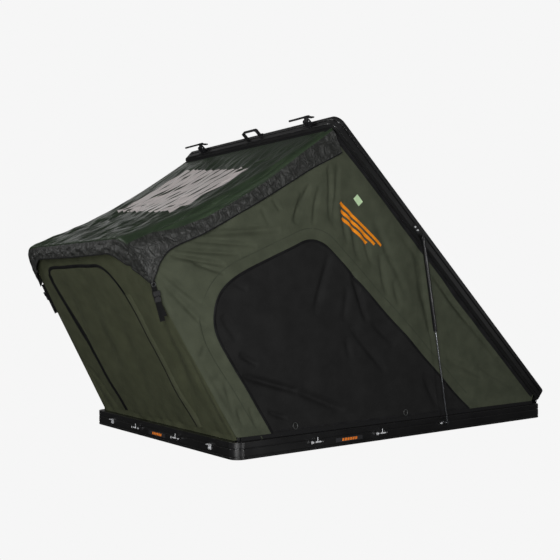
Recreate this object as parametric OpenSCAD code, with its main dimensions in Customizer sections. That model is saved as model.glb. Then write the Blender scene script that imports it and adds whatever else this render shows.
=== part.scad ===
// Wedge roof top tent: hinged hard shell with a canvas body, a hoop pole and a fly sheet.
// Origin: centre of the base underside. +X hinged end, -X entry end, +Z up. Sizes in mm.
// The lid is drawn open; "right" is the -Y side and "left" is the +Y side.

/* [Shell] */
// Length of the base and of the lid
shell_l = 2150; // [2000:10:2400]
// Width of the base and of the lid
shell_w = 1430; // [1250:10:1600]
// Outer radius of the shell's corners in plan
corner_r = 50; // [42:1:60]
// Depth of the rails from the outer face inward
rail_d = 28; // [24:1:32]
// Wall of the hollow rails
rail_wall = 2.5; // [2:0.25:3.5]
// Depth of the grooves along the rails
groove_d = 5; // [3:0.5:7]
// Chamfer on the rails' outer edges
edge_c = 1.5; // [0.5:0.25:2.5]
// Reach of the ledges that carry the floor and the lid skin
ledge_w = 12; // [10:1:16]
// Thickness of those ledges
ledge_t = 5; // [3:0.5:6]

/* [Base] */
// Height of the base
base_h = 78; // [76:1:90]
// Height of the bottom lip
lip_h = 11; // [8:1:14]
// Height of the two grooves in the base rails
base_groove_h = 3; // [2:0.5:4]
// Height of the middle band
mid_band_h = 33; // [28:1:36]
// Height of the floor panel's underside
floor_z = 30; // [26:1:32]
// Thickness of the floor panel
floor_t = 12; // [9:1:14]
// Thickness of the mattress
mattress_t = 50; // [40:1:52]
// Clear strip between the mattress and the rails
mattress_gap = 45; // [40:1:80]
// Length of the mounting channels under the floor
channel_l = 1900; // [1400:10:1950]
// Width of a mounting channel
channel_w = 40; // [30:1:60]
// Wall of a mounting channel
channel_t = 4; // [3:0.5:6]
// Distance between mounting holes along the tent
mount_x = 1000; // [700:10:1300]
// Distance between the two mounting channels
mount_y = 800; // [600:10:1000]
// Radius of a mounting hole
mount_r = 4.25; // [3.25:0.25:6]

/* [Lid] */
// Opening angle of the lid
lid_open = 43; // [30:0.5:46]
// Height of the lid
lid_h = 57; // [54:1:70]
// Gap between the closed lid and the base, filled by the seal
lid_gap = 3; // [2:0.5:4]
// Height of the lid's lower band
lid_low_h = 26; // [22:1:30]
// Height of the lid's groove
lid_groove_h = 8; // [4:1:10]
// Thickness of the lid skin
skin_t = 2; // [1.5:0.5:3]
// Drop of the skin below the top of the rails
skin_drop = 2; // [1:0.5:3]
// Thickness of the lid liner
liner_t = 12; // [8:1:13]
// Width of the rubber seal
seal_w = 16; // [10:1:20]
// Thickness of the rubber seal
seal_t = 2.2; // [1:0.1:2.6]

/* [Hinge] */
// Reach of the hinge axis beyond the end face
hinge_out = 15; // [12:0.5:20]
// Height of the hinge axis above the base
hinge_up = 10; // [8:0.5:14]
// Outer radius of a hinge knuckle
knuckle_r = 6.5; // [5.5:0.5:7]
// Radius of the hinge pin
hinge_pin_r = 3; // [2:0.25:4]
// Number of knuckles
knuckle_n = 15; // [7:2:21]
// Thickness of the hinge leaves
leaf_t = 3; // [2:0.5:4]
// Running clearance of a pin in its bore
pin_clear = 0.05; // [0.02:0.01:0.1]

/* [Gas struts] */
// Distance of the base stud from the hinge axis along the base
strut_base_run = 826; // [700:1:900]
// Height of the base stud
strut_base_z = 45; // [38:1:52]
// Distance of the lid stud from the hinge axis along the lid
strut_lid_run = 1376; // [1300:1:1450]
// Height of the lid stud above the lid's lower edge
strut_lid_up = 18; // [14:1:22]
// Distance of the strut's axis from the shell's side
strut_off = 14; // [13:0.5:18]
// Radius of the rod
rod_r = 4.5; // [3:0.5:6]
// Radius of the cylinder
cylinder_r = 10.5; // [9:0.5:12]
// Length of the cylinder
cylinder_l = 510; // [490:1:530]
// Radius of a strut stud
stud_r = 4; // [3:0.25:5]

/* [Latches and handle] */
// Distance of each latch from the middle
latch_y = 505; // [350:5:560]
// Reach of the lever's pivot from the end face
latch_out = 22; // [20:1:26]
// Height of the lever's pivot above the lid's lower edge
latch_up = 29; // [27:1:32]
// Width of the handle
handle_w = 130; // [110:1:180]
// Reach of the handle from the end face
handle_out = 43; // [34:1:55]
// Thickness of the handle's flat bar
handle_t = 4; // [3:0.5:6]
// Height of the handle's flat bar
handle_h = 20; // [14:1:22]

/* [Ladder brackets] */
// Distance between the two brackets of a pair
ladder_pitch = 414; // [300:2:500]
// Distance of a side pair from the middle, towards the entry end
ladder_side_x = 410; // [300:5:600]
// Height of the ladder pins
ladder_z = 38; // [32:1:44]
// Radius of a ladder pin
ladder_pin_r = 4; // [3:0.25:5]

/* [Canvas] */
// Thickness of the canvas
sheet_t = 2; // [1:0.25:3]
// Height of the hem strips' upper edge above the base
hem_up = 18; // [10:1:24]
// Depth of the soft folds in the side walls
fold_d = 9; // [0:0.5:14]
// Width of the door along the floor
door_w = 1331; // [1100:1:1400]
// Distance of the door's foot from the foot of the rear wall
door_foot_x = 205; // [150:1:300]
// Reach of the door's rear corner beyond the foot of the rear wall
door_back_x = 201; // [120:1:220]
// Height of the door's rear corner
door_back_z = 629; // [500:1:660]
// Distance of the door's top corner from the foot of the rear wall
door_apex_x = 479; // [440:1:520]
// Height of the door's top corner
door_apex_z = 920; // [850:1:940]
// Number of soft folds between the hoop and the door
fold_n = 6; // [2:1:9]
// Sag of the roof between the lid and the hoop
roof_sag = 45; // [0:1:70]

/* [Hoop and fly] */
// Length of the hoop from its feet to its crossbar
hoop_len = 997; // [800:1:1050]
// Lean of the hoop out over the entry end
hoop_lean = 29.5; // [15:0.1:32]
// Distance that each leg of the hoop comes in at the top
hoop_taper = 90; // [0:1:120]
// Radius of the hoop pole
hoop_r = 8; // [6:0.5:8]
// Bend radius of the hoop's corners
hoop_bend = 100; // [40:5:120]
// Thickness of the fly
fly_t = 1.6; // [1:0.1:2]
// Depth of the fly's side skirt at the lid
skirt_lid = 148; // [90:2:180]
// Depth of the fly's side skirt at the hoop
skirt_hoop = 112; // [60:2:150]
// Depth of the fly's rear skirt
skirt_rear = 75; // [50:1:110]
// Depth of the hanging ears at the hoop's corners
ear_depth = 232; // [140:2:280]
// Width of a tie-down strap
strap_w = 25; // [20:1:30]

/* [Hidden] */
$fn = 48;
clear = 0.3;
half_l = shell_l / 2;
half_w = shell_w / 2;
inner_x = half_l - rail_d;
inner_y = half_w - rail_d;
straight_l = shell_l - 2 * corner_r;
straight_w = shell_w - 2 * corner_r;
inner_r = corner_r - rail_d;
mid_z = lip_h + base_groove_h;
top_band_z = mid_z + mid_band_h + base_groove_h;
floor_top = floor_z + floor_t;
lid_z = base_h + lid_gap;
lid_top = lid_z + lid_h;
lid_groove_z = lid_z + lid_low_h;
lid_band_z = lid_groove_z + lid_groove_h;
skin_z = lid_top - skin_drop - skin_t;
hinge_x = half_l + hinge_out;
hinge_z = base_h + hinge_up;
knuckle_pitch = straight_w / knuckle_n;
bolt_r = 5;
bolt_h = 3.5;

// Where a point of the closed lid lies once the lid is open, as [x, z]
function lid_pt(x, z) = [
  hinge_x + (x - hinge_x) * cos(lid_open) + (z - hinge_z) * sin(lid_open),
  hinge_z - (x - hinge_x) * sin(lid_open) + (z - hinge_z) * cos(lid_open)
];
function mix(a, b, t) = a + (b - a) * t;
function smooth(t) = t <= 0 ? 0 : t >= 1 ? 1 : t * t * (3 - 2 * t);

// Strut ends, at rest and closed
strut_y = half_w + strut_off;
strut_a = [hinge_x - strut_base_run, strut_base_z];
strut_lid = [hinge_x - strut_lid_run, lid_z + strut_lid_up];
strut_b = lid_pt(strut_lid[0], strut_lid[1]);
strut_len = norm(strut_b - strut_a);
strut_dir = atan2(strut_b[1] - strut_a[1], strut_b[0] - strut_a[0]);
socket_r = 9;
socket_w = 10;
socket_in = strut_off - socket_w / 2;
neck_r = socket_w / 2 - clear;
gland_l = 15;
cap_l = 12;
piston_l = 12;
tube_wall = 2;
bracket_t = 3;

// Hoop feet and crossbar
hoop_x = -inner_x + 17;
hoop_z = floor_top + 66;
hoop_y = inner_y - 19;
hoop_top = [hoop_x - hoop_len * sin(hoop_lean), hoop_z + hoop_len * cos(hoop_lean)];
hoop_toe = atan(hoop_taper / hoop_len);
foot_r = 10;
foot_pin_r = 4;
foot_gap = 9.3;
foot_ear_t = 3;
ferrule_l = 30;
ferrule_lap = 1;
eye_half = foot_gap - clear;

// Wall lines: rear wall foot, fly and roof corners, door outline, all as [x, z]
wall_y = inner_y - clear;
hem_z = base_h - 16;
hem_top = base_h + hem_up;
wall_z = hem_top + clear;
fly_y = wall_y + 3.3;
rear_foot = [-inner_x + clear + sheet_t / 2, base_h + 1.3];
rear_head = hoop_top + [-hoop_r - 7.5, 5];
fly_hoop = hoop_top + [-hoop_r - 19, hoop_r + 1.5];
fly_lid = lid_pt(-half_l + rail_d / 2 + 5, lid_z - seal_t - clear);
roof_lid = lid_pt(-inner_x + 11, lid_z + 19);
roof_hoop = hoop_top + [-2, hoop_r + 1.85];
wall_corner = fly_hoop + [8, -8];
wall_lid = lid_pt(-inner_x + 29, lid_z + 19);
wall_hinge = lid_pt(inner_x - 29, lid_z + 19);
rear_slope = (rear_foot[0] - rear_head[0]) / (rear_head[1] - rear_foot[1]);
wall_foot = [rear_foot[0] - (wall_z - rear_foot[1]) * rear_slope, wall_z];
wall_front = [inner_x - 29, wall_z];
door_foot = [wall_foot[0] + door_foot_x, wall_z];
door_back = [wall_foot[0] - door_back_x, wall_z + door_back_z];
door_apex = [wall_foot[0] + door_apex_x, wall_z + door_apex_z];
door_front = [wall_foot[0] + door_foot_x + door_w, wall_z];
seam_gap = 0.6;

// Poses and placing

module lid_pose() {
  translate([hinge_x, 0, hinge_z])
    rotate([0, lid_open, 0])
      translate([-hinge_x, 0, -hinge_z]) children();
}

module on_side(side) {
  if (side > 0) mirror([0, 1, 0]) children();
  else children();
}

module both_sides() {
  children();
  mirror([0, 1, 0]) children();
}

module along_x(len) {
  translate([-len / 2, -half_w, 0])
    rotate([90, 0, 90]) linear_extrude(len) children();
}

module along_y(len) {
  translate([-half_l, len / 2, 0])
    rotate([90, 0, 0]) linear_extrude(len) children();
}

module at_corners() {
  for (mx = [0, 1], my = [0, 1])
    mirror([mx, 0, 0]) mirror([0, my, 0])
      translate([half_l - corner_r, half_w - corner_r, 0])
        rotate_extrude(angle = 90)
          translate([corner_r, 0]) mirror([1, 0]) children();
}

module rounded2d(l, w, r) {
  square([l - 2 * r, w], center = true);
  square([l, w - 2 * r], center = true);
  for (sx = [-1, 1], sy = [-1, 1])
    translate([sx * (l / 2 - r), sy * (w / 2 - r)]) circle(r);
}

module link2d(a, b, r) {
  d = b - a;
  translate(a) circle(r);
  translate(b) circle(r);
  translate(a) rotate(atan2(d[1], d[0])) translate([0, -r]) square([norm(d), 2 * r]);
}

// Rails

module band2d(z0, z1) {
  polygon([
    [rail_d, z0], [edge_c, z0], [0, z0 + edge_c],
    [0, z1 - edge_c], [edge_c, z1], [rail_d, z1]
  ]);
}

module chambers2d(z0, h) {
  chamber_w = rail_d - groove_d - 2 * rail_wall;
  chamber_h = (h - 3 * rail_wall) / 2;
  for (k = [0, 1])
    translate([groove_d + rail_wall, z0 + rail_wall + k * (chamber_h + rail_wall)])
      square([chamber_w, chamber_h]);
}

module base_profile() {
  difference() {
    union() {
      band2d(0, lip_h);
      band2d(mid_z, mid_z + mid_band_h);
      band2d(top_band_z, base_h);
      translate([groove_d, 0]) square([rail_d - groove_d, base_h]);
    }
    chambers2d(0, base_h);
  }
}

module lid_profile() {
  difference() {
    union() {
      band2d(lid_z, lid_groove_z);
      band2d(lid_band_z, lid_top);
      translate([groove_d, lid_z]) square([rail_d - groove_d, lid_h]);
    }
    chambers2d(lid_z, lid_h);
  }
}

module ledge2d(z) {
  translate([rail_d, z - ledge_t]) square([ledge_w, ledge_t]);
}

module seal2d() {
  translate([(rail_d - seal_w) / 2, lid_z - seal_t]) square([seal_w, seal_t]);
}

// The end rails' ledges stop short of the side rails' ledges
end_ledge_l = min(straight_w, 2 * (inner_y - ledge_w - clear));

module side_rail(profile_z) {
  along_x(straight_l) children();
  along_x(straight_l) ledge2d(profile_z);
}

module end_rail(profile_z) {
  along_y(straight_w) children();
  along_y(end_ledge_l) ledge2d(profile_z);
}

rail_black = "#1d1d1f";

module base_rail_right() {
  color(rail_black) side_rail(floor_z) base_profile();
}

module base_rail_left() {
  color(rail_black) mirror([0, 1, 0]) side_rail(floor_z) base_profile();
}

module base_rail_rear() {
  color(rail_black) end_rail(floor_z) base_profile();
}

module base_rail_front() {
  color(rail_black) mirror([1, 0, 0]) end_rail(floor_z) base_profile();
}

module base_corners() {
  color(rail_black) at_corners() base_profile();
}

module lid_rail_right() {
  color(rail_black) lid_pose() side_rail(skin_z) lid_profile();
}

module lid_rail_left() {
  color(rail_black) lid_pose() mirror([0, 1, 0]) side_rail(skin_z) lid_profile();
}

module lid_rail_rear() {
  color(rail_black) lid_pose() end_rail(skin_z) lid_profile();
}

module lid_rail_front() {
  color(rail_black) lid_pose() mirror([1, 0, 0]) end_rail(skin_z) lid_profile();
}

module lid_corners() {
  color(rail_black) lid_pose() at_corners() lid_profile();
}

// Panels

module panel(z, t, inset) {
  translate([0, 0, z])
    linear_extrude(t)
      rounded2d(2 * (inner_x - inset), 2 * (inner_y - inset), inner_r);
}

module floor_panel() {
  color("#6b6f73") panel(floor_z, floor_t, clear);
}

module lid_skin() {
  color("#232326") lid_pose() panel(skin_z, skin_t, clear);
}

module lid_liner() {
  liner_in = ledge_w + clear;
  color("#77797c") lid_pose() panel(skin_z - clear - liner_t, liner_t, liner_in);
}

module mattress() {
  color("#55585c") panel(floor_top + clear, mattress_t, mattress_gap);
}

module lid_seal() {
  color("#101010") lid_pose() {
    both_sides() along_x(straight_l) seal2d();
    for (m = [0, 1]) mirror([m, 0, 0]) along_y(straight_w) seal2d();
    at_corners() seal2d();
  }
}

module mounting_channels() {
  inside_w = channel_w - 2 * channel_t;
  color("#2a2a2c")
    for (sy = [-1, 1])
      translate([0, sy * mount_y / 2, 0])
        difference() {
          translate([-channel_l / 2, -channel_w / 2, 0]) cube([channel_l, channel_w, floor_z]);
          translate([-channel_l / 2 - 1, -inside_w / 2, channel_t])
            cube([channel_l + 2, inside_w, floor_z]);
          for (sx = [-1, 1])
            translate([sx * mount_x / 2, 0, -1]) cylinder(r = mount_r, h = channel_t + 2);
        }
}

module wall_hems() {
  color("#161616") {
    both_sides()
      translate([-straight_l / 2, -wall_y, hem_z])
        cube([straight_l, sheet_t, hem_top - hem_z]);
    translate([-inner_x + clear, -straight_w / 2, hem_z])
      cube([sheet_t, straight_w, rear_foot[1] - sheet_t / 2 - clear - hem_z]);
  }
}

// Continuous hinge

leaf_base_z = base_h - 50;
leaf_arm_z = base_h - 1 - leaf_t;
leaf_lid_z = lid_top - 8;
screw_n = 8;

module knuckle_span(k) {
  translate([0, straight_w / 2 - k * knuckle_pitch - clear, 0])
    rotate([90, 0, 0]) linear_extrude(knuckle_pitch - 2 * clear) children();
}

module knuckle2d() {
  translate([hinge_x, hinge_z]) circle(knuckle_r);
}

module hinge_bore() {
  translate([hinge_x, half_w, hinge_z])
    rotate([90, 0, 0]) cylinder(r = hinge_pin_r + pin_clear, h = shell_w);
}

module hinge_base_leaf() {
  color(rail_black)
    difference() {
      union() {
        translate([half_l, -straight_w / 2, leaf_base_z])
          cube([leaf_t, straight_w, leaf_arm_z + leaf_t - leaf_base_z]);
        for (k = [0:2:knuckle_n - 1])
          knuckle_span(k) {
            knuckle2d();
            translate([half_l, leaf_arm_z]) square([hinge_out + leaf_t, leaf_t]);
            translate([hinge_x - leaf_t, leaf_arm_z]) square([2 * leaf_t, hinge_z - leaf_arm_z]);
          }
      }
      hinge_bore();
    }
}

module hinge_lid_leaf() {
  arm_z = hinge_z + knuckle_r - leaf_t;
  color(rail_black) lid_pose()
    difference() {
      union() {
        translate([half_l, -straight_w / 2, arm_z])
          cube([leaf_t, straight_w, leaf_lid_z - arm_z]);
        for (k = [1:2:knuckle_n - 2])
          knuckle_span(k) {
            knuckle2d();
            translate([half_l, arm_z]) square([hinge_out, leaf_t]);
          }
      }
      hinge_bore();
    }
}

module hinge_pin() {
  color("#8a8d90")
    translate([hinge_x, straight_w / 2, hinge_z])
      rotate([90, 0, 0]) cylinder(r = hinge_pin_r, h = straight_w);
}

module screw_row(z) {
  for (k = [0:screw_n - 1])
    translate([half_l + leaf_t, straight_w * ((k + 0.5) / screw_n - 0.5), z])
      rotate([0, 90, 0]) cylinder(r = bolt_r, h = bolt_h);
}

module hinge_base_screws() {
  color("#3a3a3c") screw_row(leaf_base_z + 14);
}

module hinge_lid_screws() {
  color("#3a3a3c") lid_pose() screw_row(leaf_lid_z - 12);
}

// Gas struts

strut_bolts_base = [-34, 15];
strut_bolts_lid = [-36, -60];

module side_bolt(x, z, t) {
  translate([x, -half_w - t, z])
    rotate([90, 0, 0]) cylinder(r = bolt_r, h = bolt_h);
}

module side_stud(p, h) {
  translate([p[0], -half_w - bracket_t, p[1]])
    rotate([90, 0, 0]) cylinder(r = stud_r, h = h);
}

module side_plate(p, x0, x1, h) {
  translate([p[0] + x0, -half_w - bracket_t, p[1] - h / 2]) cube([x1 - x0, bracket_t, h]);
}

module strut_base_brackets() {
  stud_l = socket_in + socket_w - bracket_t - 2 - clear;
  color(rail_black) both_sides() {
    side_plate(strut_a, -50, 28, 30);
    side_stud(strut_a, stud_l);
  }
}

module strut_base_bolts() {
  color("#c9ccd0") both_sides()
    for (dx = strut_bolts_base)
      side_bolt(strut_a[0] + dx, strut_a[1], bracket_t);
}

module strut_lid_brackets() {
  color(rail_black) lid_pose() both_sides() {
    side_plate(strut_lid, -74, 16, 24);
    side_stud(strut_lid, socket_in - bracket_t - clear);
  }
}

module strut_lid_bolts() {
  color("#c9ccd0") lid_pose() both_sides()
    for (dx = strut_bolts_lid)
      side_bolt(strut_lid[0] + dx, strut_lid[1], bracket_t);
}

// Places a strut drawn along +Z from its base stud
module strut_pose(side) {
  on_side(side)
    translate([strut_a[0], -strut_y, strut_a[1]])
      rotate([0, 90 - strut_dir, 0]) children();
}

module socket(z) {
  translate([0, socket_w / 2, z]) rotate([90, 0, 0]) cylinder(r = socket_r, h = socket_w);
}

tube_z = strut_len - cylinder_l;
piston_z = tube_z + gland_l + 5;

module strut_rod(side) {
  color("#b4b7ba") strut_pose(side)
    difference() {
      union() {
        socket(0);
        cylinder(r = rod_r, h = piston_z + 1);
        translate([0, 0, piston_z])
          cylinder(r = cylinder_r - tube_wall - pin_clear, h = piston_l);
      }
      translate([0, socket_w / 2 + 1, 0])
        rotate([90, 0, 0]) cylinder(r = stud_r + pin_clear, h = socket_w - 1);
    }
}

module strut_cylinder(side) {
  bore_l = cylinder_l - socket_r - gland_l - cap_l;
  color("#161617") strut_pose(side)
    difference() {
      union() {
        translate([0, 0, tube_z]) cylinder(r = cylinder_r, h = cylinder_l - socket_r);
        translate([0, 0, strut_len - socket_r - 6]) cylinder(r = neck_r, h = socket_r + 6);
        socket(strut_len);
      }
      translate([0, 0, tube_z - 1]) cylinder(r = rod_r + pin_clear, h = gland_l + 2);
      translate([0, 0, tube_z + gland_l]) cylinder(r = cylinder_r - tube_wall, h = bore_l);
    }
}

module strut_rod_right() { strut_rod(-1); }

module strut_rod_left() { strut_rod(1); }

module strut_cylinder_right() { strut_cylinder(-1); }

module strut_cylinder_left() { strut_cylinder(1); }

// Latches: drawn in the closed lid, pivots as [x, z]

latch_pin_r = 3;
hook_pin_r = 3;
hook_l = 92;
hook_bar_r = 3;
lever_half = 11.5;
ear_in = 13;
ear_t = 4;
ear_r = 12;
hook_in = 18.5;
hook_t = 5;
latch_plate_w = 56;
latch_plate_t = 2.5;
lever_pivot = [-half_l - latch_out, lid_z + latch_up];
hook_pivot = lever_pivot + [-19, 16];
lever_tip = lever_pivot + [10, 45];
hook_angle = 240.8;
hook_end = hook_pivot + hook_l * [cos(hook_angle), sin(hook_angle)];

// Extrudes an outline in [x, z] over a width in y about a latch's middle
module latch_slice(y0, y1) {
  translate([0, y1, 0]) rotate([90, 0, 0]) linear_extrude(y1 - y0) children();
}

module latch_rod(p, r, half_len) {
  translate([p[0], half_len, p[1]]) rotate([90, 0, 0]) cylinder(r = r, h = 2 * half_len);
}

module at_latch(side) {
  translate([0, side * latch_y, 0]) children();
}

module latch_bases() {
  plate_z = lid_z + 6;
  plate_h = lid_h - 12;
  color(rail_black) lid_pose()
    for (side = [-1, 1])
      at_latch(side)
        difference() {
          union() {
            translate([-half_l - latch_plate_t, -latch_plate_w / 2, plate_z])
              cube([latch_plate_t, latch_plate_w, plate_h]);
            for (s = [-1, 1])
              latch_slice(min(s * ear_in, s * (ear_in + ear_t)), max(s * ear_in, s * (ear_in + ear_t)))
                link2d(lever_pivot, [-half_l - 8, lever_pivot[1]], ear_r);
          }
          latch_rod(lever_pivot, latch_pin_r + pin_clear, 30);
          translate([-half_l, -30, 0]) cube([60, 60, lid_top + 20]);
        }
}

module latch_pins() {
  color("#c9ccd0") lid_pose()
    for (side = [-1, 1]) at_latch(side) latch_rod(lever_pivot, latch_pin_r, ear_in + ear_t + 1);
}

module latch_lever(side) {
  color(rail_black) lid_pose() at_latch(side) {
    difference() {
      latch_slice(-lever_half, lever_half) {
        link2d(lever_pivot, hook_pivot, 6);
        link2d(hook_pivot, lever_tip, 3.5);
      }
      latch_rod(lever_pivot, latch_pin_r + pin_clear, 30);
    }
    latch_rod(hook_pivot, hook_pin_r, hook_in + hook_t + 1);
  }
}

module latch_hook(side) {
  color(rail_black) lid_pose() at_latch(side) {
    difference() {
      for (s = [-1, 1])
        latch_slice(min(s * hook_in, s * (hook_in + hook_t)), max(s * hook_in, s * (hook_in + hook_t)))
          link2d(hook_pivot, hook_end, 5);
      latch_rod(hook_pivot, hook_pin_r + pin_clear, 30);
    }
    latch_rod(hook_end, hook_bar_r, hook_in + hook_t);
  }
}

module latch_lever_right() { latch_lever(-1); }

module latch_lever_left() { latch_lever(1); }

module latch_hook_right() { latch_hook(-1); }

module latch_hook_left() { latch_hook(1); }

keeper_half = 11;
keeper_reach = 16;
keeper_z = base_h - 28;
keeper_lip = 4;
keeper_t = 2.5;

module latch_keepers() {
  color("#c9ccd0")
    for (side = [-1, 1])
      at_latch(side) {
        translate([-half_l - keeper_t, -keeper_half, keeper_z - 26])
          cube([keeper_t, 2 * keeper_half, 26]);
        translate([-half_l - keeper_reach, -keeper_half, keeper_z - keeper_t])
          cube([keeper_reach, 2 * keeper_half, keeper_t]);
        translate([-half_l - keeper_reach, -keeper_half, keeper_z - keeper_lip])
          cube([keeper_t, 2 * keeper_half, keeper_lip]);
      }
}

module keeper_bolts() {
  color("#c9ccd0")
    for (side = [-1, 1], dy = [-5.5, 5.5])
      translate([-half_l - keeper_t, side * latch_y + dy, keeper_z - 20])
        rotate([0, -90, 0]) cylinder(r = 4, h = 2.5);
}

// Handle: flat bar bent to a U, with a bolted foot each side

handle_foot = 24;
handle_bend = 12;
handle_z = lid_top - 1.5 - handle_h;

module handle2d() {
  inside = handle_bend - handle_t;
  difference() {
    translate([-half_l, 0]) rounded2d(2 * handle_out, handle_w, handle_bend);
    translate([-half_l, 0])
      rounded2d(2 * (handle_out - handle_t), handle_w - 2 * handle_t, inside);
    translate([-half_l, -handle_w]) square([2 * handle_out, 2 * handle_w]);
  }
}

module lid_handle() {
  color(rail_black) lid_pose() translate([0, 0, handle_z]) {
    linear_extrude(handle_h) handle2d();
    for (s = [0, 1])
      mirror([0, s, 0])
        translate([-half_l - handle_t, handle_w / 2 - handle_t, 0])
          cube([handle_t, handle_foot, handle_h]);
  }
}

module handle_bolts() {
  color("#8a8d90") lid_pose()
    for (s = [-1, 1])
      translate([-half_l - handle_t, s * (handle_w / 2 + handle_foot / 2), handle_z + handle_h / 2])
        rotate([0, -90, 0]) cylinder(r = bolt_r, h = bolt_h);
}

// Ladder brackets, drawn on a face at y = 0 that looks towards -Y

ladder_plate = [64, 3, 30];
ladder_ear = [5, 17, 20];
ladder_ear_x = 22;
ladder_pin_y = 13;
ladder_pin_l = 60;
ladder_clip_r = 1.5;
ladder_clip_l = 18;

module at_ladders() {
  for (s = [-1, 1]) {
    translate([-half_l, s * ladder_pitch / 2, ladder_z]) rotate([0, 0, -90]) children();
    both_sides()
      translate([-ladder_side_x + s * ladder_pitch / 2, -half_w, ladder_z]) children();
  }
}

module ladder_plates() {
  color(rail_black) at_ladders()
    translate([-ladder_plate[0] / 2, -ladder_plate[1], -ladder_plate[2] / 2]) cube(ladder_plate);
}

module ladder_ears() {
  color(rail_black) at_ladders()
    for (s = [-1, 1])
      difference() {
        translate([s * ladder_ear_x - ladder_ear[0] / 2, -ladder_plate[1] - ladder_ear[1],
                   -ladder_ear[2] / 2])
          cube(ladder_ear);
        translate([s * ladder_ear_x - ladder_ear[0], -ladder_pin_y, 0])
          rotate([0, 90, 0]) cylinder(r = ladder_pin_r + pin_clear, h = 2 * ladder_ear[0]);
      }
}

module ladder_pins() {
  color("#c9ccd0") at_ladders()
    translate([0, -ladder_pin_y, 0]) {
      translate([-ladder_pin_l / 2, 0, 0]) rotate([0, 90, 0]) cylinder(r = ladder_pin_r, h = ladder_pin_l);
      translate([-ladder_pin_l / 2 - 5, 0, 0]) rotate([0, 90, 0]) cylinder(r = ladder_pin_r + 3, h = 5);
      cylinder(r = ladder_clip_r, h = ladder_pin_r + ladder_clip_l);
    }
}

module ladder_bolts() {
  color("#3a3a3c") at_ladders()
    for (s = [-1, 1])
      translate([s * 28.2, -ladder_plate[1], 0]) rotate([90, 0, 0]) cylinder(r = 3, h = 2.5);
}

badge = [170, 1.5, 20];

module badge_plates() {
  badge_z = mid_z + (mid_band_h - badge[2]) / 2;
  color("#222224") {
    both_sides()
      translate([-ladder_side_x - badge[0] / 2, -half_w - badge[1], badge_z]) cube(badge);
    translate([-half_l, 0, badge_z]) rotate([0, 0, -90])
      translate([-badge[0] / 2, -badge[1], 0]) cube(badge);
  }
}

// Hoop pole on two feet

module hoop_feet() {
  plate_w = 30;
  color(rail_black) both_sides()
    translate([hoop_x, -hoop_y, 0]) {
      translate([-foot_r, -foot_gap - foot_ear_t, floor_top])
        cube([plate_w, 2 * (foot_gap + foot_ear_t), 4]);
      for (s = [0, 1])
        mirror([0, s, 0])
          difference() {
            translate([0, foot_gap + foot_ear_t, 0])
              rotate([90, 0, 0])
                linear_extrude(foot_ear_t) {
                  translate([0, hoop_z]) circle(foot_r);
                  translate([-foot_r, floor_top]) square([2 * foot_r, hoop_z - floor_top]);
                }
            translate([0, 30, hoop_z])
              rotate([90, 0, 0]) cylinder(r = foot_pin_r + pin_clear, h = 60);
          }
    }
}

module hoop_foot_pins() {
  pin_half = foot_gap + foot_ear_t + 1.5;
  color("#8a8d90") both_sides()
    translate([hoop_x, -hoop_y + pin_half, hoop_z])
      rotate([90, 0, 0]) cylinder(r = foot_pin_r, h = 2 * pin_half);
}

// A ferrule sleeve, ending just over the start of a bend
module ferrule() {
  translate([0, 0, ferrule_lap - ferrule_l]) cylinder(r = hoop_r + 0.8, h = ferrule_l);
}

module hoop_leg(leg_l) {
  difference() {
    union() {
      rotate([-hoop_toe, 0, 0]) cylinder(r = hoop_r, h = leg_l - ferrule_l / 2);
      translate([0, eye_half, 0]) rotate([90, 0, 0]) cylinder(r = foot_r, h = 2 * eye_half);
    }
    translate([0, 30, 0]) rotate([90, 0, 0]) cylinder(r = foot_pin_r + pin_clear, h = 60);
  }
  rotate([-hoop_toe, 0, 0]) translate([0, 0, leg_l]) ferrule();
}

module hoop_pole() {
  cut = hoop_bend * tan((90 - hoop_toe) / 2);
  leg_l = hoop_len / cos(hoop_toe) - cut;
  bar_half = hoop_y - hoop_taper - cut;
  color("#3a3c3e")
    translate([hoop_x, 0, hoop_z]) rotate([0, -hoop_lean, 0]) {
      both_sides() {
        translate([0, -hoop_y, 0]) hoop_leg(leg_l);
        translate([0, -bar_half, hoop_len - hoop_bend])
          rotate([90, 0, -90]) rotate([0, 0, hoop_toe])
            rotate_extrude(angle = 90 - hoop_toe) translate([hoop_bend, 0]) circle(hoop_r);
        translate([0, -bar_half, hoop_len]) rotate([90, 0, 0]) ferrule();
      }
      translate([0, bar_half - ferrule_l / 2, hoop_len])
        rotate([90, 0, 0]) cylinder(r = hoop_r, h = 2 * bar_half - ferrule_l);
    }
}

// Canvas: a sheet is a closed solid between two equal grids of points

function flatten(rows) = [for (row = rows) for (p = row) p];

module sheet(front, back) {
  n = len(front) - 1;
  m = len(front[0]) - 1;
  w = m + 1;
  b = (n + 1) * w;
  rim = concat(
    [for (j = [0:m]) j],
    [for (i = [1:n]) i * w + m],
    [for (j = [m - 1:-1:0]) n * w + j],
    [for (i = [n - 1:-1:1]) i * w]
  );
  r = len(rim);
  faces = concat(
    [for (i = [0:n - 1], j = [0:m - 1]) each [
      [i * w + j, i * w + j + 1, (i + 1) * w + j + 1],
      [i * w + j, (i + 1) * w + j + 1, (i + 1) * w + j]
    ]],
    [for (i = [0:n - 1], j = [0:m - 1]) each [
      [b + i * w + j, b + (i + 1) * w + j + 1, b + i * w + j + 1],
      [b + i * w + j, b + (i + 1) * w + j, b + (i + 1) * w + j + 1]
    ]],
    [for (k = [0:r - 1]) each [
      [rim[k], b + rim[k], b + rim[(k + 1) % r]],
      [rim[k], b + rim[(k + 1) % r], rim[(k + 1) % r]]
    ]]
  );
  polyhedron(concat(flatten(front), flatten(back)), faces, convexity = 6);
}

function path_len(path) = [
  for (i = 0, s = 0; i < len(path); s = s + (i + 1 < len(path) ? norm(path[i + 1] - path[i]) : 0), i = i + 1) s
];

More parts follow.
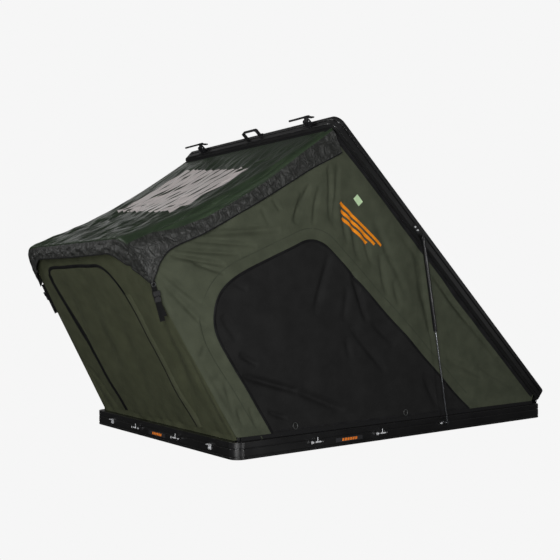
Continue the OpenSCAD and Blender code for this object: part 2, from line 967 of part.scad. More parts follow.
// Point at a share of a path's length
function along(path, share) =
  let (
    lens = path_len(path),
    target = share * lens[len(lens) - 1],
    hits = [for (i = [1:len(path) - 1]) if (lens[i] >= target - 0.0001) i],
    k = hits[0]
  )
  mix(path[k - 1], path[k], (target - lens[k - 1]) / (lens[k] - lens[k - 1]));

// Round corner of an outline: a curve that starts and ends a cut away from the corner
function bend(a, b, c, cut, n) =
  let (
    p = b + cut * (a - b) / norm(a - b),
    q = b + cut * (c - b) / norm(c - b)
  )
  [for (i = [0:n]) let (t = i / n) mix(mix(p, b, t), mix(b, q, t), t)];

door_back_cut = 290;
door_apex_cut = 110;
door_curve = concat(
  [door_foot],
  bend(door_foot, door_back, door_apex, door_back_cut, 8),
  bend(door_back, door_apex, door_front, door_apex_cut, 5),
  [door_front]
);
door_apex_i = 12;
rear_n = 26;
front_n = 18;
door_rear_edge = [for (i = [0:door_apex_i]) door_curve[i]];
door_front_edge = [for (i = [door_apex_i:len(door_curve) - 1]) door_curve[i]];
front_edge = concat(door_front_edge, [wall_front]);
front_seam = [for (i = [1:front_n]) along(front_edge, i / front_n)];
door_edge = concat(
  [for (i = [0:rear_n]) along(door_rear_edge, i / rear_n)],
  [for (p = front_seam) if (p[0] < door_front[0] - 5) p],
  [door_front]
);

// The roof line of the side wall, sagging between the hoop and the lid
roof_line = [for (i = [0:10]) mix(wall_corner, wall_lid, i / 10) - [0, roof_sag * sin(18 * i)]];
rear_outline = concat([wall_foot], roof_line);

canvas_green = "#3f4338";

// How far an outer outline is drawn in: most at its second point, none at its ends
function drawn_in(outer, t, taper) =
  let (
    lens = path_len(outer),
    total = lens[len(lens) - 1],
    s = t * total
  )
  taper * (s <= lens[1] ? s / lens[1] : 1 - (s - lens[1]) / (total - lens[1]));

// Grid of wall points between an outer and an inner outline, pushed in by soft folds
function wall_grid(outer, inner, n, m, folds, taper, off) = [
  for (i = [0:n])
    let (
      t = i / n,
      in = drawn_in(outer, t, taper)
    )
    [
      for (j = [0:m])
        let (
          s = j / m,
          p = mix(along(outer, t), along(inner, t), s),
          push = fold_d * sin(180 * s) * (0.5 - 0.5 * cos(360 * folds * t))
        )
        [p[0], -wall_y + push + in * (1 - s) + off, p[1]]
    ]
];

module wall_panel(outer, inner, n, m, folds, taper) {
  sheet(
    wall_grid(outer, inner, n, m, folds, taper, sheet_t),
    wall_grid(outer, inner, n, m, folds, taper, 0)
  );
}

// Moves an outline by the seam gap away from the door
function shift(path, d) = [for (p = path) p + d];

rear_inner = shift(door_rear_edge, [-2 * seam_gap, 2 * seam_gap]);

module side_rear(side) {
  color(canvas_green) on_side(side)
    wall_panel(rear_outline, rear_inner, rear_n, 6, fold_n, hoop_taper);
}

front_inner = shift(front_edge, [2 * seam_gap, 2 * seam_gap]);

module side_front(side) {
  color(canvas_green) on_side(side)
    wall_panel([wall_lid + [2 * seam_gap, 0], wall_hinge], front_inner, front_n, 5, 5, 0);
}

module door(side) {
  color("#1b1b1d") on_side(side)
    translate([0, -wall_y + sheet_t, 0])
      rotate([90, 0, 0]) linear_extrude(sheet_t) polygon(door_edge);
}

module side_rear_right() { side_rear(-1); }

module side_rear_left() { side_rear(1); }

module side_front_right() { side_front(-1); }

module side_front_left() { side_front(1); }

module door_right() { door(-1); }

module door_left() { door(1); }

// Rear wall, from the rear rail up to the hoop's crossbar

rear_y = inner_y - 3;
rear_fold_d = 5;
rear_len = norm(rear_head - rear_foot);
rear_up = (rear_head - rear_foot) / rear_len;
rear_out = [-rear_up[1], rear_up[0]];

// Half width of the rear wall at a height up its slope
function rear_half(up) = rear_y - hoop_taper * up / rear_len;

function rear_pt(y, up, off) =
  let (p = rear_foot + up * rear_up + off * rear_out)
  [p[0], y, p[1]];

function rear_fold(v, t) = rear_fold_d * sin(180 * t) * (0.5 - 0.5 * cos(360 * 2 * v));

function rear_grid(n, m, off) = [
  for (i = [0:n]) [
    for (j = [0:m])
      let (up = rear_len * i / n)
      rear_pt(rear_half(up) * (2 * j / m - 1), up, off - rear_fold(j / m, i / n))
  ]
];

module rear_wall() {
  color("#363a2b") sheet(rear_grid(12, 24, sheet_t / 2), rear_grid(12, 24, -sheet_t / 2));
}

// Window flap, zipped over the rear wall; its edge as [y, up]
flap_edge_left = [[366, 40], [452, 905]];
flap_edge_right = [[-364, 40], [-322, 379], [-303, 790], [-283, 848], [-200, 905]];
flap_lift = 0.6;
flap_t = 1.5;

function flap_grid(n, m, off) = [
  for (i = [0:n]) [
    for (j = [0:m])
      let (
        p = mix(along(flap_edge_right, i / n), along(flap_edge_left, i / n), j / m),
        v = 0.5 + p[0] / (2 * rear_half(p[1]))
      )
      rear_pt(p[0], p[1], off - rear_fold(v, p[1] / rear_len))
  ]
];

module rear_window_flap() {
  out = sheet_t / 2 + flap_lift;
  color("#32362a") sheet(flap_grid(12, 14, out + flap_t), flap_grid(12, 14, out));
}

// Roof panel under the fly

roof_y = inner_y - 11;

function roof_grid(n, off) = [
  for (i = [0:n])
    let (
      p = mix(roof_lid, roof_hoop, i / n) - [0, roof_sag * sin(180 * i / n) + off],
      half = roof_y - hoop_taper * i / n
    )
    [for (j = [0:4]) [p[0], half * (j / 2 - 1), p[1]]]
];

module roof_panel() {
  color("#2b3026") sheet(roof_grid(12, sheet_t / 2), roof_grid(12, -sheet_t / 2));
}

// Fly: a roof sheet with a skirt along its two sides and across the rear, longer at the ears

fly_n = 16;
fly_m = 14;
fly_rows = 5;
fly_cols = 2 * fly_m + fly_n;
fly_slope = (fly_lid - fly_hoop) / norm(fly_lid - fly_hoop);
fly_down = [fly_slope[1], -fly_slope[0]];
ear_run = 0.15;
ear_rear = 0.62;
flare_lid = 0.03;
flare_hoop = 0.28;
flare_ear = 0.14;

function fly_roof(u, v, off) =
  let (p = mix(fly_lid, fly_hoop, u) - [0, roof_sag * sin(180 * u)] + off * fly_down)
  [p[0] + off * smooth(u), v * (fly_y - hoop_taper * u - off), p[1]];

// Perimeter of the roof sheet: right side, rear, left side, as [u, v]
function fly_rim(k) =
  k <= fly_m ? [k / fly_m, -1]
  : k <= fly_m + fly_n ? [1, -1 + 2 * (k - fly_m) / fly_n]
  : [(fly_cols - k) / fly_m, 1];

function skirt_depth(u, v) =
  u < 1 ? mix(mix(skirt_lid, skirt_hoop, u), ear_depth, ear_share(u, v))
  : mix(skirt_rear, ear_depth, ear_share(u, v));

// How much of an ear there is at a point of the rim
function ear_share(u, v) =
  u < 1 ? smooth((u - 1 + ear_run) / ear_run) : max(0, (abs(v) - ear_rear) / (1 - ear_rear));

// Outward slope of the skirt, which follows the side wall
function skirt_flare(u, v) =
  sign(v) * (u < 1 ? mix(mix(flare_lid, flare_hoop, u), flare_ear, ear_share(u, v))
  : flare_ear * ear_share(u, v));

function fly_skirt(k, r, off) =
  let (
    rim = fly_rim(k),
    top = fly_roof(rim[0], rim[1], off),
    drop = skirt_depth(rim[0], rim[1]) * r / fly_rows - off,
    flare = skirt_flare(rim[0], rim[1])
  )
  [top[0] + drop * fly_down[0], top[1] + drop * flare, top[2] + drop * fly_down[1]];

function fly_points(off) = concat(
  [for (j = [0:fly_m], i = [0:fly_n]) fly_roof(j / fly_m, -1 + 2 * i / fly_n, off)],
  [for (r = [1:fly_rows], k = [0:fly_cols]) fly_skirt(k, r, off)]
);

fly_w = fly_n + 1;
fly_base = (fly_m + 1) * fly_w;
function fly_rim_i(k) =
  k <= fly_m ? k * fly_w
  : k <= fly_m + fly_n ? fly_m * fly_w + k - fly_m
  : (fly_cols - k) * fly_w + fly_n;
function skirt_i(k, r) = r == 0 ? fly_rim_i(k) : fly_base + (r - 1) * (fly_cols + 1) + k;

module fly() {
  count = fly_base + fly_rows * (fly_cols + 1);
  quads = concat(
    [for (j = [0:fly_m - 1], i = [0:fly_n - 1])
      [j * fly_w + i, j * fly_w + i + 1, (j + 1) * fly_w + i + 1, (j + 1) * fly_w + i]],
    [for (r = [0:fly_rows - 1], k = [0:fly_cols - 1])
      [skirt_i(k, r), skirt_i(k + 1, r), skirt_i(k + 1, r + 1), skirt_i(k, r + 1)]]
  );
  rim = concat(
    [for (i = [0:fly_n]) i],
    [for (r = [1:fly_rows]) skirt_i(fly_cols, r)],
    [for (k = [fly_cols - 1:-1:0]) skirt_i(k, fly_rows)],
    [for (r = [fly_rows - 1:-1:1]) skirt_i(0, r)]
  );
  n = len(rim);
  faces = concat(
    [for (q = quads) each [[q[0], q[2], q[1]], [q[0], q[3], q[2]]]],
    [for (q = quads) each [
      [count + q[0], count + q[1], count + q[2]],
      [count + q[0], count + q[2], count + q[3]]
    ]],
    [for (k = [0:n - 1])
      let (a = rim[k], c = rim[(k + 1) % n])
      each [[a, c, count + c], [a, count + c, count + a]]]
  );
  color("#2d3a2d")
    polyhedron(concat(fly_points(0), fly_points(fly_t)), faces, convexity = 8);
}

// Tie-down straps: webbing from each ear to the wall, with a buckle

strap_t = 1.5;
strap_l = 150;
strap_out = 5;
strap_top = 16;
strap_off = 1.8;
buckle = [34, 8, 46];
ear_tip = fly_hoop + (ear_depth - strap_top) * fly_down;
ear_tip_y = fly_y - hoop_taper + flare_ear * ear_depth;

module fly_straps() {
  color("#161616") both_sides()
    translate([ear_tip[0] + strap_w / 2 + 6, -ear_tip_y - strap_off, ear_tip[1]])
      rotate([0, 180 - atan2(fly_down[0], -fly_down[1]), 0]) rotate([strap_out, 0, 0]) {
        translate([-strap_w / 2, -strap_t, 0]) cube([strap_w, strap_t, strap_l]);
        translate([-buckle[0] / 2, -strap_t - buckle[1] - 0.1, 40]) cube(buckle);
      }
}

// Flap across the gap at the hinge, as [x, z]

flap_inside = inner_x - clear;
flap_lid_foot = lid_pt(flap_inside, lid_z);
flap_lid_head = lid_pt(flap_inside, lid_z + 18);
flap_line = [[flap_inside, hem_z], [flap_inside, base_h + 2], flap_lid_foot, flap_lid_head];

function hinge_flap_grid(off) = [
  for (p = flap_line) [for (s = [-1, 1]) [p[0] + off, s * (straight_w / 2 - 2), p[1]]]
];

module hinge_flap() {
  color("#161616") sheet(hinge_flap_grid(0), hinge_flap_grid(-1.5));
}

base_rail_right();
base_rail_left();
base_rail_rear();
base_rail_front();
base_corners();
floor_panel();
mounting_channels();
mattress();
wall_hems();
hinge_base_leaf();
hinge_pin();
hinge_lid_leaf();
hinge_base_screws();
hinge_lid_screws();
strut_base_brackets();
strut_base_bolts();
strut_lid_brackets();
strut_lid_bolts();
strut_rod_right();
strut_rod_left();
strut_cylinder_right();
strut_cylinder_left();
latch_keepers();
keeper_bolts();
ladder_plates();
ladder_ears();
ladder_pins();
ladder_bolts();
badge_plates();
hoop_feet();
hoop_foot_pins();
lid_rail_right();
lid_rail_left();
lid_rail_rear();
lid_rail_front();
lid_corners();
lid_skin();
lid_liner();
lid_seal();
lid_handle();
handle_bolts();
latch_bases();
latch_pins();
latch_lever_right();
latch_lever_left();
latch_hook_right();
latch_hook_left();
hoop_pole();
rear_wall();
rear_window_flap();
roof_panel();
fly();
side_rear_right();
side_rear_left();
side_front_right();
side_front_left();
door_right();
door_left();
fly_straps();
hinge_flap();
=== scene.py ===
import math

import bpy
import numpy as np
from mathutils import Matrix, Vector


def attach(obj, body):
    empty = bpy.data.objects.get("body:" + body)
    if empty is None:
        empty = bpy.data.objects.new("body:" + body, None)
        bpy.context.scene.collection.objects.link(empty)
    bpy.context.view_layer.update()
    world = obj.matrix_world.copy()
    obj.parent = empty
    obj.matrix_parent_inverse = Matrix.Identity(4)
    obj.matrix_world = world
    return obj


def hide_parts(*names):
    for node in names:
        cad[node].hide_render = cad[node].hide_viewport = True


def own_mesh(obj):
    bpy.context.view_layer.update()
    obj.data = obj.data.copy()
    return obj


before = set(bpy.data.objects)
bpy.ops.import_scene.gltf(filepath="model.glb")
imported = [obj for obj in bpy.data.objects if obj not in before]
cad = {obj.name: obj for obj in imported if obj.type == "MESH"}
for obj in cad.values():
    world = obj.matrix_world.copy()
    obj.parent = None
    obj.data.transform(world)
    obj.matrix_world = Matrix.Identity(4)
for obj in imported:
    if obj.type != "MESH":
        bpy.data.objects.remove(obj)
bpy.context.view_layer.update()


# Base and lid frames: extruded aluminium rails with long grooves, joined at the corners by round castings
# and powder-coated black. The smooth coat takes long streaks from the lights.

def linear(code):
    """An sRGB hex colour as linear RGBA."""
    parts = [int(code[i:i + 2], 16) / 255 for i in (1, 3, 5)]
    return [p / 12.92 if p <= 0.04045 else ((p + 0.055) / 1.055) ** 2.4 for p in parts] + [1.0]


def add(tree, kind, inputs=None, **settings):
    """Adds a shader node, with its settings, its values and its links."""
    node = tree.nodes.new("ShaderNode" + kind)
    for key, value in settings.items():
        setattr(node, key, value)
    for key, value in (inputs or {}).items():
        if isinstance(value, bpy.types.NodeSocket):
            tree.links.new(value, node.inputs[key])
        else:
            node.inputs[key].default_value = value
    return node


def shades(tree, value, dark, light, start=0.35, end=0.65):
    """Two sRGB colours mixed by a value."""
    ramp = add(tree, "ValToRGB", {"Fac": value})
    for stop, place, code in zip(ramp.color_ramp.elements, (start, end), (dark, light)):
        stop.position = place
        stop.color = linear(code)
    return ramp.outputs["Color"]


def hard(name, dark, light, rough, metal=0.0, grain_mm=1.5, bump_mm=0.03, edge_mm=0.8, stretch=(1, 1, 1),
         shine=0.5):
    """A hard surface: cloudy tone, softened edges and a grain, coarsened from about 0.3 mm to show at all."""
    clouds_per_m, uneven = 9.0, 0.06
    made = bpy.data.materials.new(name)
    made.use_nodes = True
    tree = made.node_tree
    spot = add(tree, "TexCoord").outputs["Object"]
    spot = add(tree, "Mapping", {"Vector": spot, "Scale": stretch}).outputs["Vector"]
    cloud = add(tree, "TexNoise", {"Vector": spot, "Scale": clouds_per_m, "Detail": 4.0}).outputs["Fac"]
    grain = add(tree, "TexNoise", {"Vector": spot, "Scale": 1000 / grain_mm, "Detail": 2.0}).outputs["Fac"]
    edge = add(tree, "Bevel", {"Radius": edge_mm / 1000}, samples=4).outputs["Normal"]
    bump = add(tree, "Bump", {"Height": grain, "Distance": bump_mm / 1000, "Normal": edge})
    gloss = add(tree, "MapRange", {"Value": cloud, "To Min": rough - uneven, "To Max": rough + uneven})
    look = tree.nodes["Principled BSDF"]
    tree.links.new(shades(tree, cloud, dark, light), look.inputs["Base Color"])
    tree.links.new(gloss.outputs["Result"], look.inputs["Roughness"])
    tree.links.new(bump.outputs["Normal"], look.inputs["Normal"])
    look.inputs["Metallic"].default_value = metal
    look.inputs["Specular IOR Level"].default_value = shine
    return made


def paint(look, *names):
    """Gives CAD nodes a material."""
    for name in names:
        cad[name].data.materials.clear()
        cad[name].data.materials.append(look)


# baked powder: smooth, near black, with a clear gleam
powder_coat = hard("black_powder_coat", "#09090a", "#0d0d0e", 0.3, shine=0.8)
# the same coat on cast metal, a shade glossier
gloss_coat = hard("gloss_black_casting", "#0e0e0f", "#131314", 0.30, shine=1.0)
paint(powder_coat, "base_rail_right", "base_rail_left", "base_rail_rear", "base_rail_front",
      "lid_rail_right", "lid_rail_left", "lid_rail_rear", "lid_rail_front")
paint(gloss_coat, "base_corners", "lid_corners")


# Floor and bed: a grey-faced plywood floor on ledges of the rails, two black channels below it for the
# roof rack, and a foam mattress in a grey cover. Only the channels' undersides show with the doors shut.

# printed facing: dull grey, with a grain along the bed
plywood = hard("grey_faced_plywood", "#55575a", "#636568", 0.7, grain_mm=4, bump_mm=0.05, stretch=(0.2, 1, 1))
# anodised extrusion: dark, with a faint metal sheen
channel_coat = hard("black_anodised_aluminium", "#1b1b1d", "#242427", 0.45, metal=0.3)
paint(plywood, "floor_panel")
paint(channel_coat, "mounting_channels")


def textile(name, dark, light, rough, weave_mm=2.5, weave_bump_mm=0.12, crinkle_mm=18, crinkle_bump_mm=0.5,
            stretch=(1, 1, 1), spread=(0.35, 0.65), shine=0.15, ridged=False, spot="UV"):
    """A cloth: cloudy dye, small creases and a square weave, coarsened from about 0.5 mm to show at all.
    Ridged creases also set its colour: painted shade in the folds, painted highlight on the ridges.
    """
    clouds_per_m = 14.0
    band_gap = 0.314  # metres between two bands of a wave texture at a scale of 1
    made = bpy.data.materials.new(name)
    made.use_nodes = True
    tree = made.node_tree
    flat = add(tree, "TexCoord").outputs[spot]
    pulled = add(tree, "Mapping", {"Vector": flat, "Scale": stretch}).outputs["Vector"]
    cloud = add(tree, "TexNoise", {"Vector": pulled, "Scale": clouds_per_m, "Detail": 5.0}).outputs["Fac"]
    crinkle = add(tree, "TexNoise", {"Vector": pulled, "Scale": 1000 / crinkle_mm, "Detail": 3.0,
                                     "Distortion": 0.6}).outputs["Fac"]
    if ridged:
        # noise folded over at its middle has sharp creases
        crinkle = add(tree, "Math", {0: crinkle, 1: 4.0, 2: -2.0}, operation="MULTIPLY_ADD").outputs[0]
        crinkle = add(tree, "Math", {0: crinkle}, operation="ABSOLUTE").outputs[0]
    bands = band_gap / (weave_mm / 1000)
    warp = add(tree, "TexWave", {"Vector": flat, "Scale": bands}, bands_direction="X").outputs["Fac"]
    weft = add(tree, "TexWave", {"Vector": flat, "Scale": bands}, bands_direction="Y").outputs["Fac"]
    weave = add(tree, "Math", {0: warp, 1: weft}, operation="ADD").outputs["Value"]
    creased = add(tree, "Bump", {"Height": crinkle, "Distance": crinkle_bump_mm / 1000})
    woven = add(tree, "Bump", {"Height": weave, "Distance": weave_bump_mm / 1000,
                               "Normal": creased.outputs["Normal"]})
    look = tree.nodes["Principled BSDF"]
    # ridged cloth takes its colour from its creases: painted shade in them and painted highlight on their
    # ridges
    dye_and_crease_shade = crinkle if ridged else cloud
    tree.links.new(shades(tree, dye_and_crease_shade, dark, light, *spread), look.inputs["Base Color"])
    tree.links.new(woven.outputs["Normal"], look.inputs["Normal"])
    look.inputs["Roughness"].default_value = rough
    look.inputs["Specular IOR Level"].default_value = shine
    return made


# knitted cover: dull mid grey
mattress_cover = textile("grey_mattress_cover", "#44474b", "#505357", 0.9, spot="Object")
paint(mattress_cover, "mattress")


# Hinge at the +X end: a continuous steel hinge under the same black coat, on a plain steel pin, held by
# rows of black pan-head screws.

# zinc plate: pale and bright
steel = hard("zinc_plated_steel", "#dfe1e4", "#f0f1f3", 0.3, metal=0.5, grain_mm=0.8)
# black oxide: dark grey with a dull metal sheen
black_steel = hard("black_oxide_steel", "#202022", "#2c2c2f", 0.42, metal=0.4)
paint(powder_coat, "hinge_base_leaf", "hinge_lid_leaf")
paint(steel, "hinge_pin")
paint(black_steel, "hinge_base_screws", "hinge_lid_screws")


# Gas struts: a bright ground rod in a black painted cylinder on each side, on ball studs whose black
# brackets are held by zinc-plated bolts.

# ground and polished steel: a grey mirror
ground_rod = hard("ground_steel_rod", "#8f9296", "#a9acb0", 0.25, metal=1.0, grain_mm=0.6, edge_mm=0.3)
# sprayed gloss paint: deep black with sharp highlights
cylinder_paint = hard("gloss_black_paint", "#111113", "#19191b", 0.22, edge_mm=0.5)
paint(ground_rod, "strut_rod_right", "strut_rod_left")
paint(cylinder_paint, "strut_cylinder_right", "strut_cylinder_left")
paint(powder_coat, "strut_base_brackets", "strut_lid_brackets")
paint(steel, "strut_base_bolts", "strut_lid_bolts")


# Latches and handle: black toggle latches with steel pins on the lid's entry end, bright keepers below
# them on the base, and a pull handle bent from black flat bar.

paint(black_steel, "latch_bases", "latch_lever_right", "latch_lever_left", "latch_hook_right",
      "latch_hook_left", "lid_handle")
paint(steel, "latch_pins", "latch_keepers", "keeper_bolts")
paint(black_steel, "handle_bolts")


# Ladder brackets and plates: black coated plates and ears bolted to the base, with bright locking pins, and
# thin moulded plates between them, each with a row of plain orange blocks.

# moulded plastic: flat black with a soft sheen
badge_plastic = hard("black_plate_plastic", "#1a1a1c", "#222225", 0.5)
# printed paint: even orange, half matt
orange_paint = hard("orange_paint", "#c8650f", "#dd7716", 0.5, grain_mm=3)
paint(powder_coat, "ladder_plates", "ladder_ears")
paint(steel, "ladder_pins")
paint(black_steel, "ladder_bolts")
paint(badge_plastic, "badge_plates")


def solid(name, points, faces, look, body):
    """A mesh from points and faces, riding on a body if one is named."""
    mesh = bpy.data.meshes.new(name)
    mesh.from_pydata([tuple(p) for p in points], [], [tuple(f) for f in faces])
    mesh.materials.append(look)
    made = bpy.data.objects.new(name, mesh)
    bpy.context.scene.collection.objects.link(made)
    if body:
        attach(made, body)
    return made


# slanted blocks in a row along the middle of each plate, on the two sides and the entry end
PLATE_X, PLATE_Z, PLATE_OUT_SIDE, PLATE_OUT_END = -0.41, 0.0305, 0.7168, 1.0768
BLOCK_COUNT, BLOCK_PITCH, BLOCK_THICK = 6, 0.0165, 0.0008
BLOCK_SHAPE = ((-0.006, -0.0065), (0.006, -0.0065), (0.009, 0.0065), (-0.003, 0.0065))
BLOCK_FACES = ((0, 1, 2, 3), (4, 5, 6, 7), (0, 1, 5, 4), (1, 2, 6, 5), (2, 3, 7, 6), (3, 0, 4, 7))
badge_points, badge_faces = [], []
for centre, way, out in (((PLATE_X, -PLATE_OUT_SIDE, PLATE_Z), (1, 0, 0), (0, -1, 0)),
                         ((PLATE_X, PLATE_OUT_SIDE, PLATE_Z), (-1, 0, 0), (0, 1, 0)),
                         ((-PLATE_OUT_END, 0, PLATE_Z), (0, -1, 0), (-1, 0, 0))):
    for k in range(BLOCK_COUNT):
        first = len(badge_points)
        step = BLOCK_PITCH * (k - (BLOCK_COUNT - 1) / 2)
        for lift in (-BLOCK_THICK / 2, BLOCK_THICK / 2):
            for a, b in BLOCK_SHAPE:
                badge_points.append(Vector(centre) + (a + step) * Vector(way) + b * Vector((0, 0, 1))
                                    + lift * Vector(out))
        badge_faces += [[first + c for c in face] for face in BLOCK_FACES]
solid("badge_blocks", badge_points, badge_faces, orange_paint, "base")


# Lid: a sheet of black painted aluminium on the rails' ledges, with a quilted grey liner under it and a
# rubber seal around it below.

# painted sheet: black, with a slight texture
lid_paint = hard("black_painted_sheet", "#1c1c1e", "#252528", 0.42, grain_mm=3, bump_mm=0.06)
# moulded rubber: dull black
seal_rubber = hard("seal_rubber", "#0e0e0f", "#151516", 0.8)
# quilted cloth: soft grey squares of 40 mm
liner_cloth = textile("quilted_liner", "#5c5e61", "#6b6d70", 0.9, weave_mm=40, weave_bump_mm=2.0,
                      spot="Object")
paint(lid_paint, "lid_skin")
paint(seal_rubber, "lid_seal")
paint(liner_cloth, "lid_liner")


# Hoop: a bent tent pole of grey anodised aluminium that carries the rear of the roof. It stands on two
# pinned feet, and all of it is inside the canvas.

# anodised tube: grey metal, half bright
pole_alloy = hard("grey_anodised_pole", "#4a4c50", "#5a5c60", 0.35, metal=0.9)
paint(pole_alloy, "hoop_pole")
paint(powder_coat, "hoop_feet")
paint(steel, "hoop_foot_pins")


# Side walls: olive canvas with a black zipped door each side, sewn to the lid's edge and the hoop and held
# by a black hem strip in the base rail. A long fold is drawn where the photograph shows one.

HINGE = np.array([1.090, 0.088])  # the lid's axis in x and z
OPEN = math.radians(43)
WALL_Y = 0.6867
FOOT_Z = 0.0963  # where the canvas leaves the base


def lid_point(x, z):
    """Where a point of the closed lid lies with the lid open, in x and z."""
    c, s = math.cos(OPEN), math.sin(OPEN)
    x, z = x - HINGE[0], z - HINGE[1]
    return np.array([HINGE[0] + x * c + z * s, HINGE[1] - x * s + z * c])


def bend(a, b, c, cut, count):
    """A round corner of an outline, starting and ending a cut away from the corner."""
    a, b, c = (np.array(p, float) for p in (a, b, c))
    p, q = b + cut * (a - b) / np.linalg.norm(a - b), b + cut * (c - b) / np.linalg.norm(c - b)
    t = np.linspace(0, 1, count + 1)[:, None]
    return (1 - t) ** 2 * p + 2 * t * (1 - t) * b + t ** 2 * q


def along(path, count):
    """Points at equal steps along a path."""
    path = np.array(path, float)
    run = np.concatenate([[0], np.cumsum(np.linalg.norm(np.diff(path, axis=0), axis=1))])
    stops = np.linspace(0, run[-1], count + 1)
    return np.stack([np.interp(stops, run, path[:, k]) for k in range(path.shape[1])], -1)


def ease(t):
    """A smooth step from 0 to 1."""
    t = np.clip(t, 0, 1)
    return t * t * (3 - 2 * t)


def creases(a, b, rows):
    """Depth in metres of folds, each from one point to another with a depth and half width in mm."""
    total = np.zeros_like(a)
    for a0, b0, a1, b1, depth, half in rows:
        da, db = a1 - a0, b1 - b0
        length = math.hypot(da, db)
        t = ((a - a0) * da + (b - b0) * db) / length ** 2
        away = ((a - a0) * db - (b - b0) * da) / length
        total += depth / 1000 * np.exp(-(away * 1000 / half) ** 2) * np.clip(4 * t * (1 - t), 0, 1) ** 0.7
    return total


def crumple(a, b, seed, waves, short, long, lean, spread):
    """A smooth random field of about unit size, from waves that run across a leaning direction."""
    rng = np.random.default_rng(seed)
    total = np.zeros_like(a)
    for _ in range(waves):
        length, way = rng.uniform(short, long), lean + rng.normal(0, spread)
        total += np.sin(2 * np.pi * (a * math.cos(way) + b * math.sin(way)) / length + rng.uniform(0, 6.28))
    return total / math.sqrt(waves)


HOOP_TAPER = 0.090  # how much each leg of the hoop leans in up to its top
BEND = 0.110  # radius of the hoop's two top bends
CORNER_R = 0.034  # radius of the canvas's upright corners
ROUND = 1 - math.sqrt(0.5)  # share of its radius by which a round edge lies inside a sharp one
ROOF_SAG = 0.045
WALL_END, LID_LOW = 1.018, 0.100
WALL_FOOT = np.array([-1.0550, FOOT_Z])
WALL_CORNER = np.array([-1.5399, 0.9772])
WALL_LID = lid_point(-WALL_END, LID_LOW)
WALL_HINGE = lid_point(WALL_END, LID_LOW)
WALL_FRONT = np.array([WALL_END, FOOT_Z])
DOOR_FOOT, DOOR_BACK = np.array([-0.8500, FOOT_Z]), np.array([-1.2560, 0.7253])
DOOR_APEX, DOOR_FRONT = np.array([-0.5760, 1.0163]), np.array([0.4810, FOOT_Z])
ROOF_WAY = (WALL_LID - WALL_CORNER) / np.linalg.norm(WALL_LID - WALL_CORNER)
REAR_WAY = (WALL_CORNER - WALL_FOOT) / np.linalg.norm(WALL_CORNER - WALL_FOOT)


def rounded(gap, radius):
    """How far a round edge lies inside the sharp one, at a distance from it."""
    d = np.clip(1 - gap / radius, 0, 1)
    return radius * (1 - np.sqrt(1 - d * d))


def ridge(u):
    """Radius of the roof's side edge: tight at the lid, the hoop's own bend at the hoop."""
    tight = 0.020
    return tight + (BEND - tight) * np.clip(u, 0, 1) ** 2


# folds of wall and door, picked in the photograph and put on the wall's plane through the fitted camera: x
# and z of both ends in m, then depth and half width in mm, matched
SIDE_FOLDS = [
    (-1.193, 1.004, -0.788, 1.038, 11, 16), (-1.253, 0.975, -0.917, 0.960, 8, 11),
    (-1.325, 0.934, -1.005, 0.918, 9, 11), (-1.347, 0.908, -1.083, 0.867, 12, 12),
    (-1.242, 0.877, -1.095, 0.831, 8, 10), (-1.409, 0.854, -1.195, 0.684, 6, 13),
    (-1.401, 0.808, -1.187, 0.596, 9, 15), (-1.374, 0.658, -1.247, 0.496, 6, 15),
    (-1.298, 0.563, -1.177, 0.376, 8, 14), (-1.209, 0.430, -1.062, 0.206, 9, 15),
    (-1.187, 0.512, -1.221, 0.445, 6, 11), (-1.302, 0.409, -1.185, 0.336, 8, 11),
    (-1.275, 0.368, -1.183, 0.307, 6, 10), (-1.117, 0.380, -1.183, 0.326, 5, 12),
    (-1.369, 0.481, -1.255, 0.272, 6, 14), (-1.276, 0.297, -1.066, 0.125, 6, 13),
    (-1.100, 0.358, -1.053, 0.191, 6, 12), (-1.037, 0.227, -1.010, 0.143, 5, 10),
    (-0.973, 0.229, -0.937, 0.136, 4, 11), (-0.498, 1.358, -0.486, 1.075, 9, 12),
    (-0.438, 1.370, -0.469, 1.052, 7, 13), (-0.605, 1.266, -0.706, 1.067, 8, 13),
    (-0.554, 1.257, -0.597, 1.063, 6, 12), (-0.651, 1.219, -0.714, 1.067, 5, 11),
    (-0.418, 1.192, -0.377, 0.981, 7, 15), (-0.359, 1.138, -0.305, 0.900, 6, 15),
    (-0.278, 1.050, -0.213, 0.868, 6, 15), (-0.166, 0.936, -0.117, 0.725, 7, 16),
    (-0.069, 0.810, -0.036, 0.664, 6, 16), (-0.817, 1.179, -0.779, 1.119, 4, 11),
    (-0.884, 1.137, -0.838, 1.047, 4, 13), (-0.495, 0.938, -0.590, 0.626, 8, 20),
    (-0.357, 0.842, -0.255, 0.585, 10, 18), (-0.385, 0.768, -0.403, 0.597, 5, 18),
    (-0.370, 0.580, -0.121, 0.327, 9, 22), (-1.010, 0.371, -0.689, 0.275, 17, 16),
    (-0.738, 0.295, -0.402, 0.161, 13, 20), (-1.069, 0.797, -0.980, 0.756, 6, 12),
    (-1.123, 0.646, -1.036, 0.533, 6, 16), (-1.027, 0.469, -0.918, 0.414, 10, 13),
    (-0.873, 0.195, -0.759, 0.157, 8, 12), (-0.232, 0.592, -0.061, 0.468, 6, 18),
    (-0.387, 0.523, -0.367, 0.399, 5, 18), (0.090, 0.980, 0.200, 0.500, 9, 24),
    (0.192, 0.863, 0.498, 0.562, 9, 20), (0.289, 0.391, 0.600, 0.263, 8, 20),
    (0.138, 0.319, 0.256, 0.096, 7, 20), (0.560, 0.330, 0.900, 0.170, 6, 20),
    (-0.050, 1.060, 0.760, 0.330, 6, 18), (-0.223, 1.140, 0.033, 0.700, 6, 22)]


